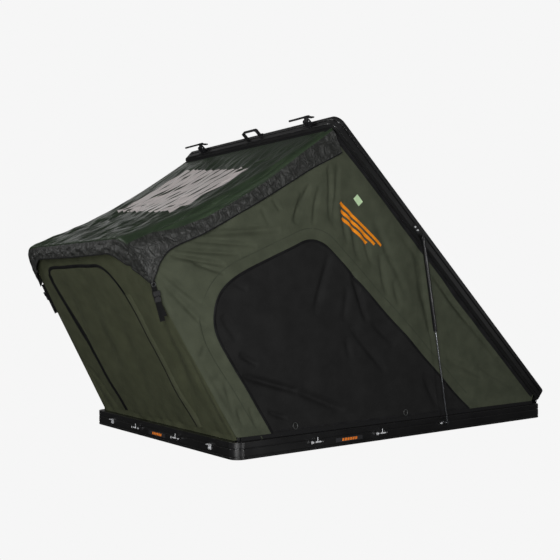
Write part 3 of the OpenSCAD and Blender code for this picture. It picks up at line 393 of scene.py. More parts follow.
def side_push(x, z):
    """How far the side wall is pushed in at a point. Along the lid, base and hoop it is held."""
    held_sewn, held_hoop, fold_gain = 0.05, 0.12, 1.7
    lid_way = (WALL_HINGE - WALL_LID) / np.linalg.norm(WALL_HINGE - WALL_LID)
    from_lid = -((x - WALL_LID[0]) * -lid_way[1] + (z - WALL_LID[1]) * lid_way[0])
    from_rear = (x - WALL_FOOT[0]) * REAR_WAY[1] - (z - WALL_FOOT[1]) * REAR_WAY[0]
    hold = ease((z - FOOT_Z) / held_sewn) * ease(from_lid / held_sewn) * ease(from_rear / held_hoop)
    loose = 0.0045 * crumple(x, z, 3, 9, 0.14, 0.42, 0.6, 0.9)
    return hold * (0.006 + loose + fold_gain * creases(x, z, SIDE_FOLDS)) + rounded(from_rear, CORNER_R)


def under_roof(x, z):
    """How far the side wall turns in below the roof's round edge."""
    x, z = x - WALL_CORNER[0], z - WALL_CORNER[1]
    u = 1 - (x * ROOF_WAY[0] + z * ROOF_WAY[1]) / np.linalg.norm(WALL_LID - WALL_CORNER)
    below = x * ROOF_WAY[1] - z * ROOF_WAY[0] - ROOF_SAG * np.sin(np.pi * np.clip(u, 0, 1))
    return rounded(np.clip(below, 0, None) + 0.010, ridge(u))


def side_point(x, z, side, lift=0.0, drawn=0.0):
    """A point of the side wall in space, lifted off it or drawn in towards the middle."""
    y = WALL_Y - side_push(x, z) - under_roof(x, z) - drawn + lift
    return np.stack([x, side * y, z], -1)


def cloth(name, points, cut, look):
    """A sheet from a grid of points, with its flat cut in metres as UV."""
    rows, cols = points.shape[:2]
    index = np.arange(rows * cols).reshape(rows, cols)
    faces = np.stack([index[:-1, :-1], index[1:, :-1], index[1:, 1:], index[:-1, 1:]], -1).reshape(-1, 4)
    made = solid(name, points.reshape(-1, 3), faces.tolist(), look, None)
    layer = made.data.uv_layers.new(name="cut")
    corner = np.zeros(len(made.data.loops), int)
    made.data.loops.foreach_get("vertex_index", corner)
    layer.data.foreach_set("uv", cut.reshape(-1, 2)[corner].astype(np.float32).ravel())
    made.data.polygons.foreach_set("use_smooth", [True] * len(made.data.polygons))
    return made


def ribbon(name, path, width, place, look, crown=0.0):
    """A strip sewn along a path of a sheet; place puts a sheet point with a lift into space."""
    path = np.array(path, float)
    way = np.gradient(path, axis=0)
    way /= np.linalg.norm(way, axis=1)[:, None]
    side = np.stack([-way[:, 1], way[:, 0]], -1)
    across = np.linspace(-0.5, 0.5, 5)
    flat = path[:, None] + across[None, :, None] * width * side[:, None]
    thick = 0.0008
    lift = thick + crown * (1 - (2 * across) ** 2)
    points = place(flat[..., 0], flat[..., 1], np.broadcast_to(lift, flat.shape[:2]))
    run = np.concatenate([[0], np.cumsum(np.linalg.norm(np.diff(path, axis=0), axis=1))])
    cut = np.stack(np.broadcast_arrays(across[None] * width, run[:, None]), -1)
    return cloth(name, points, cut, look)


def tube(name, path, radius, look, sides=8):
    """A round piping or cord along a path in space."""
    path = np.array(path, float)
    way = np.gradient(path, axis=0)
    way /= np.linalg.norm(way, axis=1)[:, None]
    first = np.cross(way, (0.31, 0.52, 0.79))  # a direction that no path here follows
    first /= np.linalg.norm(first, axis=1)[:, None]
    second = np.cross(way, first)
    turn = np.linspace(0, 2 * np.pi, sides, endpoint=False)
    ring = np.cos(turn)[None, :, None] * first[:, None] + np.sin(turn)[None, :, None] * second[:, None]
    points = (path[:, None] + radius * ring).reshape(-1, 3)
    index = np.arange(len(path) * sides).reshape(-1, sides)
    after = np.roll(index, -1, 1)
    faces = np.stack([index[:-1], index[1:], after[1:], after[:-1]], -1).reshape(-1, 4)
    made = solid(name, points, faces.tolist(), look, None)
    made.data.polygons.foreach_set("use_smooth", [True] * len(faces))
    return made


# woven proofed canvas: dull olive with small creases
olive_canvas = textile("olive_canvas", "#3a3e32", "#414538", 0.82, crinkle_bump_mm=0.7)
# the same canvas dyed black
door_canvas = textile("black_canvas", "#181818", "#1c1c1c", 0.8, crinkle_bump_mm=0.7)
# woven tape: black with a slight shine
zip_tape = textile("black_zip_tape", "#0c0c0d", "#141415", 0.6, weave_mm=3, crinkle_mm=6, crinkle_bump_mm=0.2)
# ink printed on canvas: even colour, half matt
orange_print = textile("orange_print", "#c9740e", "#dc8416", 0.7, crinkle_bump_mm=0.3)
green_print = textile("pale_green_print", "#a9c49a", "#bdd5ae", 0.7, crinkle_bump_mm=0.3)
# stitched seam: a thin line a shade darker than the canvas
seam_thread = textile("olive_seam", "#35392e", "#3a3e33", 0.85)
# moulded plastic: dark grey, half gloss
pull_plastic = hard("grey_pull_plastic", "#303131", "#3a3b3b", 0.4)
# woven binding: black, nearly matt
hem_tape = textile("black_binding", "#131314", "#1b1b1c", 0.75, crinkle_mm=10)
paint(hem_tape, "wall_hems")

ROOF_STOPS, DOOR_STOPS, SEAM_STOPS = 41, 161, 181
FACING = 0.058  # from the door's zip to the stitched edge beside it

# the walls' upper edge lies a little below the roof's sharp edge, on its round
roof_u = np.linspace(1, 0, ROOF_STOPS)
roof_line = np.linspace(WALL_CORNER, WALL_LID, ROOF_STOPS)
roof_line[:, 1] -= ROOF_SAG * np.sin(np.pi * roof_u)
roof_line += (0.4 * ridge(roof_u))[:, None] * np.array([ROOF_WAY[1], -ROOF_WAY[0]])

# the door's zip line, with a wide bend at the rear and a tighter one at the top
door_curve = np.concatenate([
    [DOOR_FOOT], bend(DOOR_FOOT, DOOR_BACK, DOOR_APEX, 0.290, 16),
    bend(DOOR_BACK, DOOR_APEX, DOOR_FRONT, 0.110, 10), [DOOR_FRONT]])
apex = int(np.argmax(door_curve[:, 1]))
door_rear, door_front = door_curve[:apex + 1], door_curve[apex:]


def ruled(outer, inner, rows, cols):
    """A grid in the wall's plane between two outlines."""
    t = np.linspace(0, 1, cols + 1)[None, :, None]
    return along(outer, rows)[:, None] * (1 - t) + along(inner, rows)[:, None] * t


def offset(path, gap):
    """A path beside another, on its left."""
    way = np.gradient(path, axis=0)
    return path + gap * np.stack([-way[:, 1], way[:, 0]], -1) / np.linalg.norm(way, axis=1)[:, None]


# the door's rows lie closer together near its top
heights = np.interp(np.linspace(0, 1, DOOR_STOPS), [0, 0.85, 1], [FOOT_Z, 0.930, door_curve[apex, 1]])
rear_x = np.interp(heights, door_rear[:, 1], door_rear[:, 0])
front_x = np.interp(heights, door_front[::-1, 1], door_front[::-1, 0])
door_flat = np.stack([rear_x[:, None] + (front_x - rear_x)[:, None] * np.linspace(0, 1, DOOR_STOPS)[None],
                      np.repeat(heights[:, None], DOOR_STOPS, 1)], -1)

# the rear part's edge follows the hoop's leg and the roof, and is drawn in most at the hoop's top
REAR_ROWS, REAR_COLS, EDGE_IN = 280, 80, 0.957 * HOOP_TAPER
turn_in = np.array([ROUND * CORNER_R / REAR_WAY[1], 0])
rear_edge = np.concatenate([[WALL_FOOT + turn_in, roof_line[0] + turn_in], roof_line[1:]])
rear_flat = ruled(rear_edge, door_rear, REAR_ROWS, REAR_COLS)
edge_run = np.linspace(0, 1, REAR_ROWS + 1) * np.linalg.norm(np.diff(rear_edge, axis=0), axis=1).sum()
leg_run = np.linalg.norm(rear_edge[1] - rear_edge[0])
edge_in = EDGE_IN * np.minimum(edge_run / leg_run,
                               (edge_run[-1] - edge_run) / (edge_run[-1] - leg_run))
rear_drawn = edge_in[:, None] * np.linspace(1, 0, REAR_COLS + 1)[None]
front_flat = ruled([WALL_LID, WALL_HINGE], np.concatenate([door_front, [WALL_FRONT]]), 180, 60)

# the way the open lid faces, used to set the band along the lid just below it
LID_FACE = (math.sin(OPEN), 0, math.cos(OPEN))
for side, hand in ((-1, "right"), (1, "left")):
    for part, flat, look, body in (("side_rear", rear_flat, olive_canvas, "hoop"),
                                   ("side_front", front_flat, olive_canvas, "lid"),
                                   ("door", door_flat, door_canvas, "lid")):
        drawn = rear_drawn if part == "side_rear" else 0.0
        points = side_point(flat[..., 0], flat[..., 1], side, drawn=drawn)
        sheet = cloth(f"{part}_cloth_{hand}", points, flat, look)
        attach(sheet, body)
        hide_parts(f"{part}_{hand}")
        if body == "hoop":
            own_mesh(sheet)
        else:
            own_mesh(sheet)

    # zip around the door, the black band sewn along the lid, the door's lower hem, the plain prints on the
    # wall, and the stitched edge of the facing beside the zip, on the front panel
    def place(x, z, lift, side=side):
        return side_point(x, z, side, lift)

    lid_band = along([WALL_LID, WALL_HINGE], 60) + 0.020 * np.array([-LID_FACE[0], -LID_FACE[2]])
    door_hem = along([DOOR_FOOT + (0.02, 0.008), DOOR_FRONT + (-0.02, 0.008)], 60)
    trims = [("door_zip", along(door_curve, 160), 0.013, zip_tape, 0.002),
             ("lid_band", lid_band, 0.042, hem_tape, 0.0),
             ("door_hem", door_hem, 0.010, hem_tape, 0.001)]
    bar_way, bar_below, bar_gap = np.array([0.7986, -0.6018]), np.array([-0.6018, -0.7986]), 0.024
    for k, (start, length) in enumerate(((0.0, 0.34), (0.03, 0.27), (0.06, 0.20))):
        bar_end = np.array([-0.428, 1.180]) + start * bar_way + k * bar_gap * bar_below
        bar = along([bar_end, bar_end + length * bar_way], 30)
        trims.append((f"wall_bar_{k}", bar, 0.014, orange_print, 0.0))
    trims.append(("wall_dot", along([(-0.330, 1.215), (-0.296, 1.179)], 8), 0.034, green_print, 0.0))
    front_seam = offset(along(door_front, SEAM_STOPS - 1), FACING)[:-8]
    trims.append(("door_seam_front", front_seam, 0.005, seam_thread, 0.0))
    for part, path, width, look, crown in trims:
        strip = ribbon(f"{part}_{hand}", path, width, place, look, crown)
        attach(strip, "lid")
        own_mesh(strip)

    # two moulded zip pulls at the door's foot, oval rings that stand off the cloth
    turn = np.linspace(0, 2 * np.pi, 25)
    pull_z, pull_wide, pull_high, pull_off = 0.119, 0.013, 0.015, 0.006
    for k, x in enumerate((-0.720, -0.006)):
        loop = side_point(x + pull_wide * np.cos(turn), pull_z + pull_high * np.sin(turn), side, pull_off)
        pull = tube(f"zip_pull_{k}_{hand}", loop, 0.0024, pull_plastic)
        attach(pull, "lid")
        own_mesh(pull)

    # the same stitched edge on the rear panel, drawn in with the panel; every 12th place keeps it smooth
    seam_path = offset(along(door_rear, SEAM_STOPS - 1), FACING)
    near = np.argmin(np.linalg.norm(rear_flat.reshape(1, -1, 2) - seam_path[:, None], axis=2), axis=1)
    stops = np.arange(SEAM_STOPS)
    seam_in = np.interp(stops, stops[::12], rear_drawn.ravel()[near][::12])[:, None]

    def place_rear(x, z, lift, side=side, seam_in=seam_in):
        return side_point(x, z, side, lift, seam_in)

    strip = ribbon(f"door_seam_rear_{hand}", seam_path, 0.005, place_rear, seam_thread)
    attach(strip, "hoop")
    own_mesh(strip)


# Rear wall: olive canvas from the rear rail, where a hem strip holds it, up to the hoop, with a zipped
# window flap. It is gathered a little along the rail.

REAR_FOOT, REAR_HEAD = np.array([-1.0457, 0.0793]), np.array([-1.5364, 0.9807])
REAR_LEN = float(np.linalg.norm(REAR_HEAD - REAR_FOOT))
REAR_UP = (REAR_HEAD - REAR_FOOT) / REAR_LEN
REAR_OUT = np.array([-REAR_UP[1], REAR_UP[0]])
# folds in the same form, in y and the way up the slope
REAR_FOLDS = [
    (-0.560, 0.860, -0.470, 0.150, 5, 30), (-0.620, 0.700, -0.600, 0.080, 6, 26),
    (-0.500, 0.500, -0.400, 0.040, 4, 26), (0.100, 0.800, 0.200, 0.300, 5, 60),
    (-0.100, 0.700, 0.020, 0.120, 5, 50), (0.300, 0.820, 0.420, 0.400, 4, 40),
    (0.640, 0.500, 0.600, 0.030, 5, 22), (0.560, 0.300, 0.480, 0.030, 5, 22)]


def rear_half(up):
    """Half the width of the rear wall at a height up its slope."""
    foot_half = 0.684
    return foot_half - HOOP_TAPER * up / REAR_LEN - rounded(REAR_LEN - up + 0.006, BEND - 0.008)


def rear_point(y, up, lift=0.0):
    """A point of the rear wall in space, lifted off it."""
    gather_gap, fold_gain = 0.13, 2.2
    held_foot, held_head, held_side = 0.02, 0.05, 0.06
    gather = 0.5 + 0.5 * np.sin(y * 2 * np.pi / gather_gap + 2 * np.sin(y * 9))
    from_side = rear_half(up) - np.abs(y)
    hold = ease(up / held_foot) * ease((REAR_LEN - up) / held_head) * ease(from_side / held_side)
    push = hold * (0.009 * gather * np.exp(-up / 0.07) + fold_gain * creases(y, up, REAR_FOLDS)
                   + 0.0030 * crumple(y, up, 5, 8, 0.15, 0.5, 0.3, 0.8) + 0.003)
    off = lift - push - rounded(from_side, CORNER_R)
    return np.stack([REAR_FOOT[0] + up * REAR_UP[0] + off * REAR_OUT[0], y,
                     REAR_FOOT[1] + up * REAR_UP[1] + off * REAR_OUT[1]], -1)


# the same canvas, a touch darker and warmer: painted shade for the rear end
rear_canvas_painted_shade = textile("rear_olive_canvas_painted_shade", "#383b2b", "#3e4130", 0.82, crinkle_bump_mm=0.7)
# the zip's cover: the same canvas painted a shade lighter, a painted highlight where it stands off the wall
cover_canvas_painted_light = textile("olive_zip_cover_painted_light", "#404332", "#464938", 0.82, crinkle_bump_mm=0.7)
vs, ups = np.meshgrid(np.linspace(-1, 1, 141), np.linspace(0, REAR_LEN, 111))
ys = vs * (rear_half(ups) - ROUND * CORNER_R)
rear_sheet = cloth("rear_wall_cloth", rear_point(ys, ups), np.stack([ys, ups], -1), rear_canvas_painted_shade)
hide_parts("rear_wall")

# the flap's outline: up its left edge, over the top and down its right edge, in y and the way up the slope
flap_line = np.concatenate([
    [(0.366, 0.035)], bend((0.366, 0.035), (0.453, 0.905), (-0.200, 0.905), 0.100, 8),
    bend((0.40, 0.905), (-0.215, 0.905), (-0.300, 0.800), 0.070, 8),
    bend((-0.215, 0.905), (-0.303, 0.790), (-0.322, 0.379), 0.060, 6), [(-0.322, 0.379), (-0.366, 0.035)]])
top = int(np.argmax(flap_line[:, 1]))
flap_left = along(flap_line[:top + 1], 60)
flap_right = along(flap_line[top:][::-1], 60)
share = np.linspace(0, 1, 51)[None, :, None]
flap_flat = flap_left[:, None] * (1 - share) + flap_right[:, None] * share
flap_sheet = cloth("window_flap_cloth", rear_point(flap_flat[..., 0], flap_flat[..., 1], 0.0012),
                   flap_flat, rear_canvas_painted_shade)
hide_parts("rear_window_flap")

# zip tape around the flap, widest on the left, where the black tape also covers the fold's shadow beside it
# as painted shadow, and the cover folded over its right edge
zip_turn = int(np.argmin(np.abs(flap_line[:, 0] + 0.303)))
cover = along(flap_line[zip_turn:], 60) + np.array([-0.030, 0])
rear_trims = [ribbon("window_zip_left_and_shadow", along(flap_line[:5], 60), 0.040, rear_point, zip_tape, 0.003),
              ribbon("window_zip_top", along(flap_line[3:zip_turn + 1], 80), 0.019, rear_point, zip_tape,
                     0.0025),
              ribbon("window_zip_right", along(flap_line[zip_turn:], 80), 0.007, rear_point, zip_tape, 0.002),
              ribbon("window_zip_cover", cover, 0.044, rear_point, cover_canvas_painted_light, 0.003)]
for piece in (rear_sheet, flap_sheet, *rear_trims):
    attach(piece, "hoop")
    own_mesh(piece)


# Roof and fly: a canvas roof panel under a fly of coated green cloth, sewn to the lid's rear edge and draped
# over the hoop. Its charcoal skirt hangs down the sides and the rear and is longest at the two corner ears.

def roof_sag(u):
    """How far the roof sags, at a share of the way from the lid to the hoop."""
    return ROOF_SAG * np.sin(np.pi * u)


ROOF_LID, ROOF_HOOP = np.array([-0.4567, 1.5467]), np.array([-1.5229, 0.9856])
us, vs = np.meshgrid(np.linspace(0, 1, 25), np.linspace(-1, 1, 25), indexing="ij")
ROOF_Y, ROOF_RUN = 0.676, 1.206
roof_half = ROOF_Y - HOOP_TAPER * us - 0.6 * ridge(us)
roof_points = np.stack([ROOF_LID[0] + us * (ROOF_HOOP - ROOF_LID)[0], vs * roof_half,
                        ROOF_LID[1] + us * (ROOF_HOOP - ROOF_LID)[1] - roof_sag(us) - 0.004], -1)
roof_cut = np.stack([vs * roof_half, us * ROOF_RUN], -1)
# the roof panel is cut from this shaded copy of the canvas too, with the same painted shade
roof_sheet = cloth("roof_panel_cloth", roof_points, roof_cut, rear_canvas_painted_shade)
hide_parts("roof_panel")

FLY_LID, FLY_HOOP = np.array([-0.4860, 1.5446]), np.array([-1.5479, 0.9852])
FLY_Y, REAR_R = 0.690, 0.020
FLY_RUN = float(np.linalg.norm(FLY_HOOP - FLY_LID))
FLY_WAY = (FLY_LID - FLY_HOOP) / FLY_RUN
FLY_DOWN = np.array([FLY_WAY[1], -FLY_WAY[0]])


def fly_edge(u, v):
    """The fly's half width, the turn of its edges and its y, at shares of its run and of its width."""
    half = FLY_Y - HOOP_TAPER * u
    y = v * (half - ROUND * ridge(u))
    turn = rounded(half - np.abs(y), ridge(u)) + rounded((1 - u) * FLY_RUN, REAR_R)
    return half, turn, y


def fly_roof(u, v):
    """A point of the fly's roof, with fine streaks and a few sharp creases that run slantwise down it."""
    held_lid, held_hoop, held_side = 0.10, 0.03, 0.14
    _, turn, y = fly_edge(u, v)
    run = u * FLY_RUN
    slant = y + 0.30 * (run - 0.6)
    streaks = 0.0032 * crumple(slant, run, 11, 12, 0.045, 0.12, 0.0, 0.10)
    sharp = 0.0060 * np.abs(crumple(slant, run, 12, 5, 0.10, 0.24, 0.15, 0.2))
    hold = ease((u - 0.05) / held_lid) * ease((1 - u) / held_hoop) * ease((1 - np.abs(v)) / held_side)
    drop = roof_sag(u) + hold * (sharp - 0.004 + streaks)
    return np.stack([FLY_LID[0] + u * (FLY_HOOP - FLY_LID)[0] + turn * FLY_DOWN[0], y,
                     FLY_LID[1] + u * (FLY_HOOP - FLY_LID)[1] + turn * FLY_DOWN[1] - drop], -1)


# the fly's grid, finer near its edges, and the rim that the skirt hangs on: right side, rear, left side
ROOF_N, SIDE_N = 190, 110
steps = np.linspace(-1, 1, ROOF_N + 1)
across = np.sign(steps) * (1 - (1 - np.abs(steps)) ** 1.4)
along_u = (1 - (1 - np.linspace(0, 1, SIDE_N + 1)) ** 1.25) * (1 - ROUND * REAR_R / FLY_RUN)
grid_u, grid_v = np.meshgrid(along_u, across, indexing="ij")
fly_points = fly_roof(grid_u, grid_v)
fly_cut = np.stack([fly_edge(grid_u, grid_v)[2], grid_u * FLY_RUN], -1)
rim_u = np.concatenate([along_u, np.full(ROOF_N - 1, along_u[-1]), along_u[::-1]])
rim_v = np.concatenate([-np.ones(SIDE_N), across, np.ones(SIDE_N)])
on_side = np.arange(len(rim_u)) < SIDE_N
on_side |= on_side[::-1]
half, rim_turn, rim_y = fly_edge(rim_u, rim_v)

# how far below the roof's sharp edge the hem and seam lie: along the run, and at the rear across the width
side_hem = np.interp(rim_u, [0, 0.17, 0.35, 0.54, 0.73, 0.83, 0.88, 0.93, 0.966, 1],
                     [0.138, 0.112, 0.108, 0.110, 0.120, 0.118, 0.125, 0.158, 0.202, 0.236])
rear_hem = np.interp(np.abs(rim_v), [0, 0.66, 0.71, 0.77, 0.83, 0.89, 0.95, 1],
                     [0.067, 0.064, 0.068, 0.083, 0.107, 0.138, 0.180, 0.236])
hem = np.convolve(np.pad(np.where(on_side, side_hem, rear_hem), 2, mode="edge"), np.ones(5) / 5, "valid")
side_seam = np.interp(rim_u, [0, 0.17, 0.35, 0.67, 0.80, 0.92], [0.018, 0.024, 0.042, 0.058, 0.050, 0.020])
seam = np.maximum(np.where(on_side, side_seam, 0.0), rim_turn + 0.003)
GREEN_ROWS, SKIRT_ROWS, HEM_ROWS, HEM_WIDE = 4, 16, 2, 0.004
fall = np.concatenate([rim_turn + (seam - rim_turn) * np.linspace(0, 1, GREEN_ROWS + 1)[1:, None],
                       seam + (hem - HEM_WIDE - seam) * np.linspace(0, 1, SKIRT_ROWS + 1)[1:, None],
                       hem + np.array([[-HEM_WIDE / 2], [0.0]])])

# the skirt flares at the ears, puckers between seam and hem, and folds once beside each ear
EAR_FLARE, REAR_TILT = 0.14, 0.45
ear = np.where(on_side, ease((rim_u - 0.85) / 0.15), np.clip((np.abs(rim_v) - 0.62) / 0.38, 0, 1))
flare = np.where(on_side, (0.03 + 0.25 * rim_u) * (1 - ear) + EAR_FLARE * ear, EAR_FLARE * ear)
rim_run = np.where(on_side, rim_u * FLY_RUN, FLY_RUN + rim_v * FLY_Y)
pucker = np.abs(crumple(rim_run[None] + 0 * fall, fall, 21, 9, 0.030, 0.085, 0.0, 0.35))
slack = ease((fall - seam) / 0.03) * ease((hem - fall + HEM_WIDE) / 0.045)
flutter = crumple(rim_run[None] + 0 * fall, fall, 23, 8, 0.04, 0.11, 0.9, 0.6)
pucker = slack * (1 - 0.7 * ear) * np.where(on_side, 1.0, 1.9) * (0.0055 * pucker + 0.003 * flutter)
ear_fold = np.abs(rim_v)[None] - 0.975 + 0.16 * (fall - 0.04) / 0.17
pucker -= np.where(on_side, 0, 0.010) * np.exp(-(ear_fold / 0.018) ** 2) * ease((fall - 0.04) / 0.05)
side_out = half - rounded(fall, ridge(rim_u)) + flare * (fall - rim_turn) + pucker
rear_wide = half - rounded(fall, ridge(rim_u)) + EAR_FLARE * (fall - rim_turn)
rear_wide /= half - ROUND * ridge(rim_u)
rear_y = rim_y * (1 + (rear_wide - 1) * np.abs(rim_v) ** 3)
back = np.where(on_side, 0, rounded(fall, REAR_R) - pucker - REAR_TILT * (1 - ear) * (fall - rim_turn))
skirt = np.stack([FLY_LID[0] + rim_u * (FLY_HOOP - FLY_LID)[0] + fall * FLY_DOWN[0] + back * FLY_WAY[0],
                  np.where(on_side, np.sign(rim_v) * side_out, rear_y),
                  FLY_LID[1] + rim_u * (FLY_HOOP - FLY_LID)[1] - roof_sag(rim_u) + fall * FLY_DOWN[1]
                  + back * FLY_WAY[1]], -1)

# faces of roof and skirt, and which of the three looks each has: green, charcoal or black binding
LID_BAND = 0.045
GREEN, CHARCOAL, BINDING = 0, 1, 2
roof_count = fly_points.shape[0] * fly_points.shape[1]
rim_index = np.concatenate([np.arange(SIDE_N + 1) * (ROOF_N + 1),
                            SIDE_N * (ROOF_N + 1) + np.arange(1, ROOF_N),
                            np.arange(SIDE_N, -1, -1) * (ROOF_N + 1) + ROOF_N])
rows = np.concatenate([rim_index[None], roof_count + np.arange(skirt[..., 0].size).reshape(skirt.shape[:2])])
index = np.arange(roof_count).reshape(SIDE_N + 1, ROOF_N + 1)
roof_faces = np.stack([index[:-1, :-1], index[:-1, 1:], index[1:, 1:], index[1:, :-1]], -1).reshape(-1, 4)
skirt_faces = np.stack([rows[:-1, :-1], rows[:-1, 1:], rows[1:, 1:], rows[1:, :-1]], -1)
roof_looks = np.repeat(np.where(along_u[1:] < LID_BAND, BINDING, GREEN), ROOF_N)
row_looks = [GREEN] * GREEN_ROWS + [CHARCOAL] * SKIRT_ROWS + [BINDING] * HEM_ROWS
skirt_looks = np.repeat(row_looks, skirt_faces.shape[1])
skirt_faces = skirt_faces.reshape(-1, 4)

# coated cloth: dark green with a wet shine and long creases, painted darker in the creases and lighter on
# their ridges as painted shade and painted highlight
fly_green = textile("green_coated_fly", "#1e2a1b", "#2c3a27", 0.38, crinkle_mm=70, crinkle_bump_mm=5.0,
                    stretch=(1, 0.14, 1), spread=(0.0, 0.7), shine=0.5, ridged=True)
# the same cloth in charcoal, with short creases and the same painted crease shade and ridge highlight
fly_charcoal = textile("charcoal_coated_fly", "#1c1d1b", "#313230", 0.5, crinkle_mm=38, crinkle_bump_mm=4.4,
                       spread=(0.0, 0.7), shine=0.4, ridged=True)

# the fly's plain printed panel: pale grey with wavy dark lines, in metres of the flat cut
PANEL_MID_Y, PANEL_HALF_Y = 0.012, 0.437
PANEL_MID_RUN, PANEL_HALF_RUN, PANEL_SLANT = 0.507, 0.247, 0.2
LINE_SHARE = 0.07
LINE_SCALE = 3.6  # puts the lines about 87 mm apart
tree = fly_green.node_tree
look = tree.nodes["Principled BSDF"]
flat = add(tree, "TexCoord").outputs["UV"]
axes = add(tree, "SeparateXYZ", {"Vector": flat}).outputs
from_y = add(tree, "Math", {0: axes["X"], 1: PANEL_MID_Y}, operation="SUBTRACT").outputs[0]
from_y = add(tree, "Math", {0: from_y}, operation="ABSOLUTE").outputs[0]
inside_y = add(tree, "Math", {0: from_y, 1: PANEL_HALF_Y}, operation="LESS_THAN").outputs[0]
from_run = add(tree, "Math", {0: axes["X"], 1: PANEL_SLANT, 2: -PANEL_MID_RUN},
               operation="MULTIPLY_ADD").outputs[0]
from_run = add(tree, "Math", {0: axes["Y"], 1: from_run}, operation="ADD").outputs[0]
from_run = add(tree, "Math", {0: from_run}, operation="ABSOLUTE").outputs[0]
inside_run = add(tree, "Math", {0: from_run, 1: PANEL_HALF_RUN}, operation="LESS_THAN").outputs[0]
lines = add(tree, "TexWave", {"Vector": flat, "Scale": LINE_SCALE, "Distortion": 4.0, "Detail": 1.0,
                              "Detail Scale": 0.5})
pale = add(tree, "Math", {0: lines.outputs["Fac"], 1: LINE_SHARE}, operation="GREATER_THAN").outputs[0]
printed = add(tree, "Math", {0: inside_y, 1: inside_run}, operation="MULTIPLY").outputs[0]
printed = add(tree, "Math", {0: printed, 1: pale}, operation="MULTIPLY").outputs[0]
plain = look.inputs["Base Color"].links[0].from_socket
# sockets 6, 7 and 2 are the two colours and the result of a colour mix
mixed = add(tree, "Mix", {"Factor": printed, 6: plain, 7: linear("#d0c8c6")}, data_type="RGBA")
tree.links.new(mixed.outputs[2], look.inputs["Base Color"])

fly_sheet = solid("fly_cloth", np.concatenate([fly_points.reshape(-1, 3), skirt.reshape(-1, 3)]),
                  np.concatenate([roof_faces, skirt_faces]).tolist(), fly_green, None)
fly_sheet.data.materials.append(fly_charcoal)
fly_sheet.data.materials.append(hem_tape)
looks = np.concatenate([roof_looks, skirt_looks]).astype(np.int32)
fly_sheet.data.polygons.foreach_set("material_index", looks)
fly_sheet.data.polygons.foreach_set("use_smooth", [True] * len(fly_sheet.data.polygons))
skirt_cut = np.stack([np.where(on_side, np.sign(rim_v) * (half + fall), rim_y + 0 * fall),
                      np.where(on_side, rim_u * FLY_RUN + 0 * fall, FLY_RUN + fall)], -1)
cut = np.concatenate([fly_cut.reshape(-1, 2), skirt_cut.reshape(-1, 2)])
corner = np.zeros(len(fly_sheet.data.loops), int)
fly_sheet.data.loops.foreach_get("vertex_index", corner)
fly_sheet.data.uv_layers.new(name="cut").data.foreach_set("uv", cut[corner].astype(np.float32).ravel())
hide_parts("fly")

# the rolled edge of the hem
binding = tube("fly_binding", skirt[-1], 0.0018, hem_tape)


def box(centre, size):
    """The corners of a box."""
    return [Vector(centre) + Vector((sx * size[0], sy * size[1], sz * size[2])) / 2
            for sx in (-1, 1) for sy in (-1, 1) for sz in (-1, 1)]


BOX_FACES = [(0, 1, 3, 2), (4, 6, 7, 5), (0, 4, 5, 1), (2, 3, 7, 6), (0, 2, 6, 4), (1, 5, 7, 3)]

# tie-down straps of woven tape on a ring at each ear, with side-release buckles; the right one hangs free and
# the left one lies along the wall
STRAP_HALF, STRAP_STEP, STRAP_OUT = 0.0125, 0.007, 0.0875
RING_R, RING_WIRE = 0.009, 0.0022
BUCKLE = [((0, 0, 0.012), (0.034, 0.009, 0.022)), ((0, 0, -0.013), (0.030, 0.007, 0.024)),
          ((-0.012, 0, 0.0), (0.005, 0.007, 0.012)), ((0.012, 0, 0.0), (0.005, 0.007, 0.012))]
# moulded plastic: black, with a dull gleam
buckle_plastic = hard("black_buckle_plastic", "#101011", "#161617", 0.4, shine=0.3)
straps = []
for side, hand, hang, inward in ((-1, "right", 13.3, 0.010), (1, "left", 27.8, 0.020)):
    tip = np.array([-1.4379, side * 0.6286, 0.7764])
    down, out = math.cos(math.radians(hang)), math.sin(math.radians(hang))
    way = np.array([out, side * STRAP_OUT, -down])
    spare = np.array([out + 0.17, side * STRAP_OUT, 0.06 - down])
    start = tip + np.array([inward, -0.005 - side * 0.009, 0.004])
    spine = start + np.linspace(-0.016, 0.160, 25)[:, None] * way
    tail = spine[12] + np.array([0, side * 0.004, 0]) + np.linspace(0, 0.070, 11)[:, None] * spare
    spread = np.linspace(-1, 1, 3)[None, :, None]
    for name, path in (("fly_strap", spine), ("fly_strap_tail", tail)):
        run = STRAP_STEP * np.arange(len(path))[:, None]
        cut = np.stack(np.broadcast_arrays(STRAP_HALF * spread[..., 0], run), -1)
        points = path[:, None] + spread * STRAP_HALF * np.array([down, 0, out])
        straps.append(cloth(f"{name}_{hand}", points, cut, zip_tape))
    lean = Matrix.Rotation(math.radians(-hang), 3, "Y")
    spot = Vector(spine[9]) + Vector((0, side * 0.006, 0))
    corners = [spot + lean @ p for centre, size in BUCKLE for p in box(centre, size)]
    faces = [[8 * k + i for i in face] for k in range(len(BUCKLE)) for face in BOX_FACES]
    buckle = solid(f"fly_buckle_{hand}", corners, faces, buckle_plastic, None)
    turn = np.linspace(0, 2 * np.pi, 25)[:, None]
    around = (np.cos(turn) * np.array([FLY_WAY[0], 0, FLY_WAY[1]])
              + np.sin(turn) * np.array([FLY_DOWN[0], 0, FLY_DOWN[1]]))
    ring_path = spine[2] + np.array([0, side * 0.003, 0]) + RING_R * around
    ring = tube(f"fly_ring_{hand}", ring_path, RING_WIRE, pull_plastic)
    straps += [buckle, ring]
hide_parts("fly_straps")
for piece in (roof_sheet, fly_sheet, binding, *straps):
    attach(piece, "hoop")
    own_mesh(piece)


# Hinge flap: a strip of black woven cloth that closes the gap between base and lid at the hinged end. It is
# fixed along the inside of the two rails there.

paint(hem_tape, "hinge_flap")


# Studio: a plain pale floor in an even white surround. A large soft light stands on the camera's left, weaker
# ones over the entry end, behind and on the right, and two narrow low ones draw streaks on the round corners.

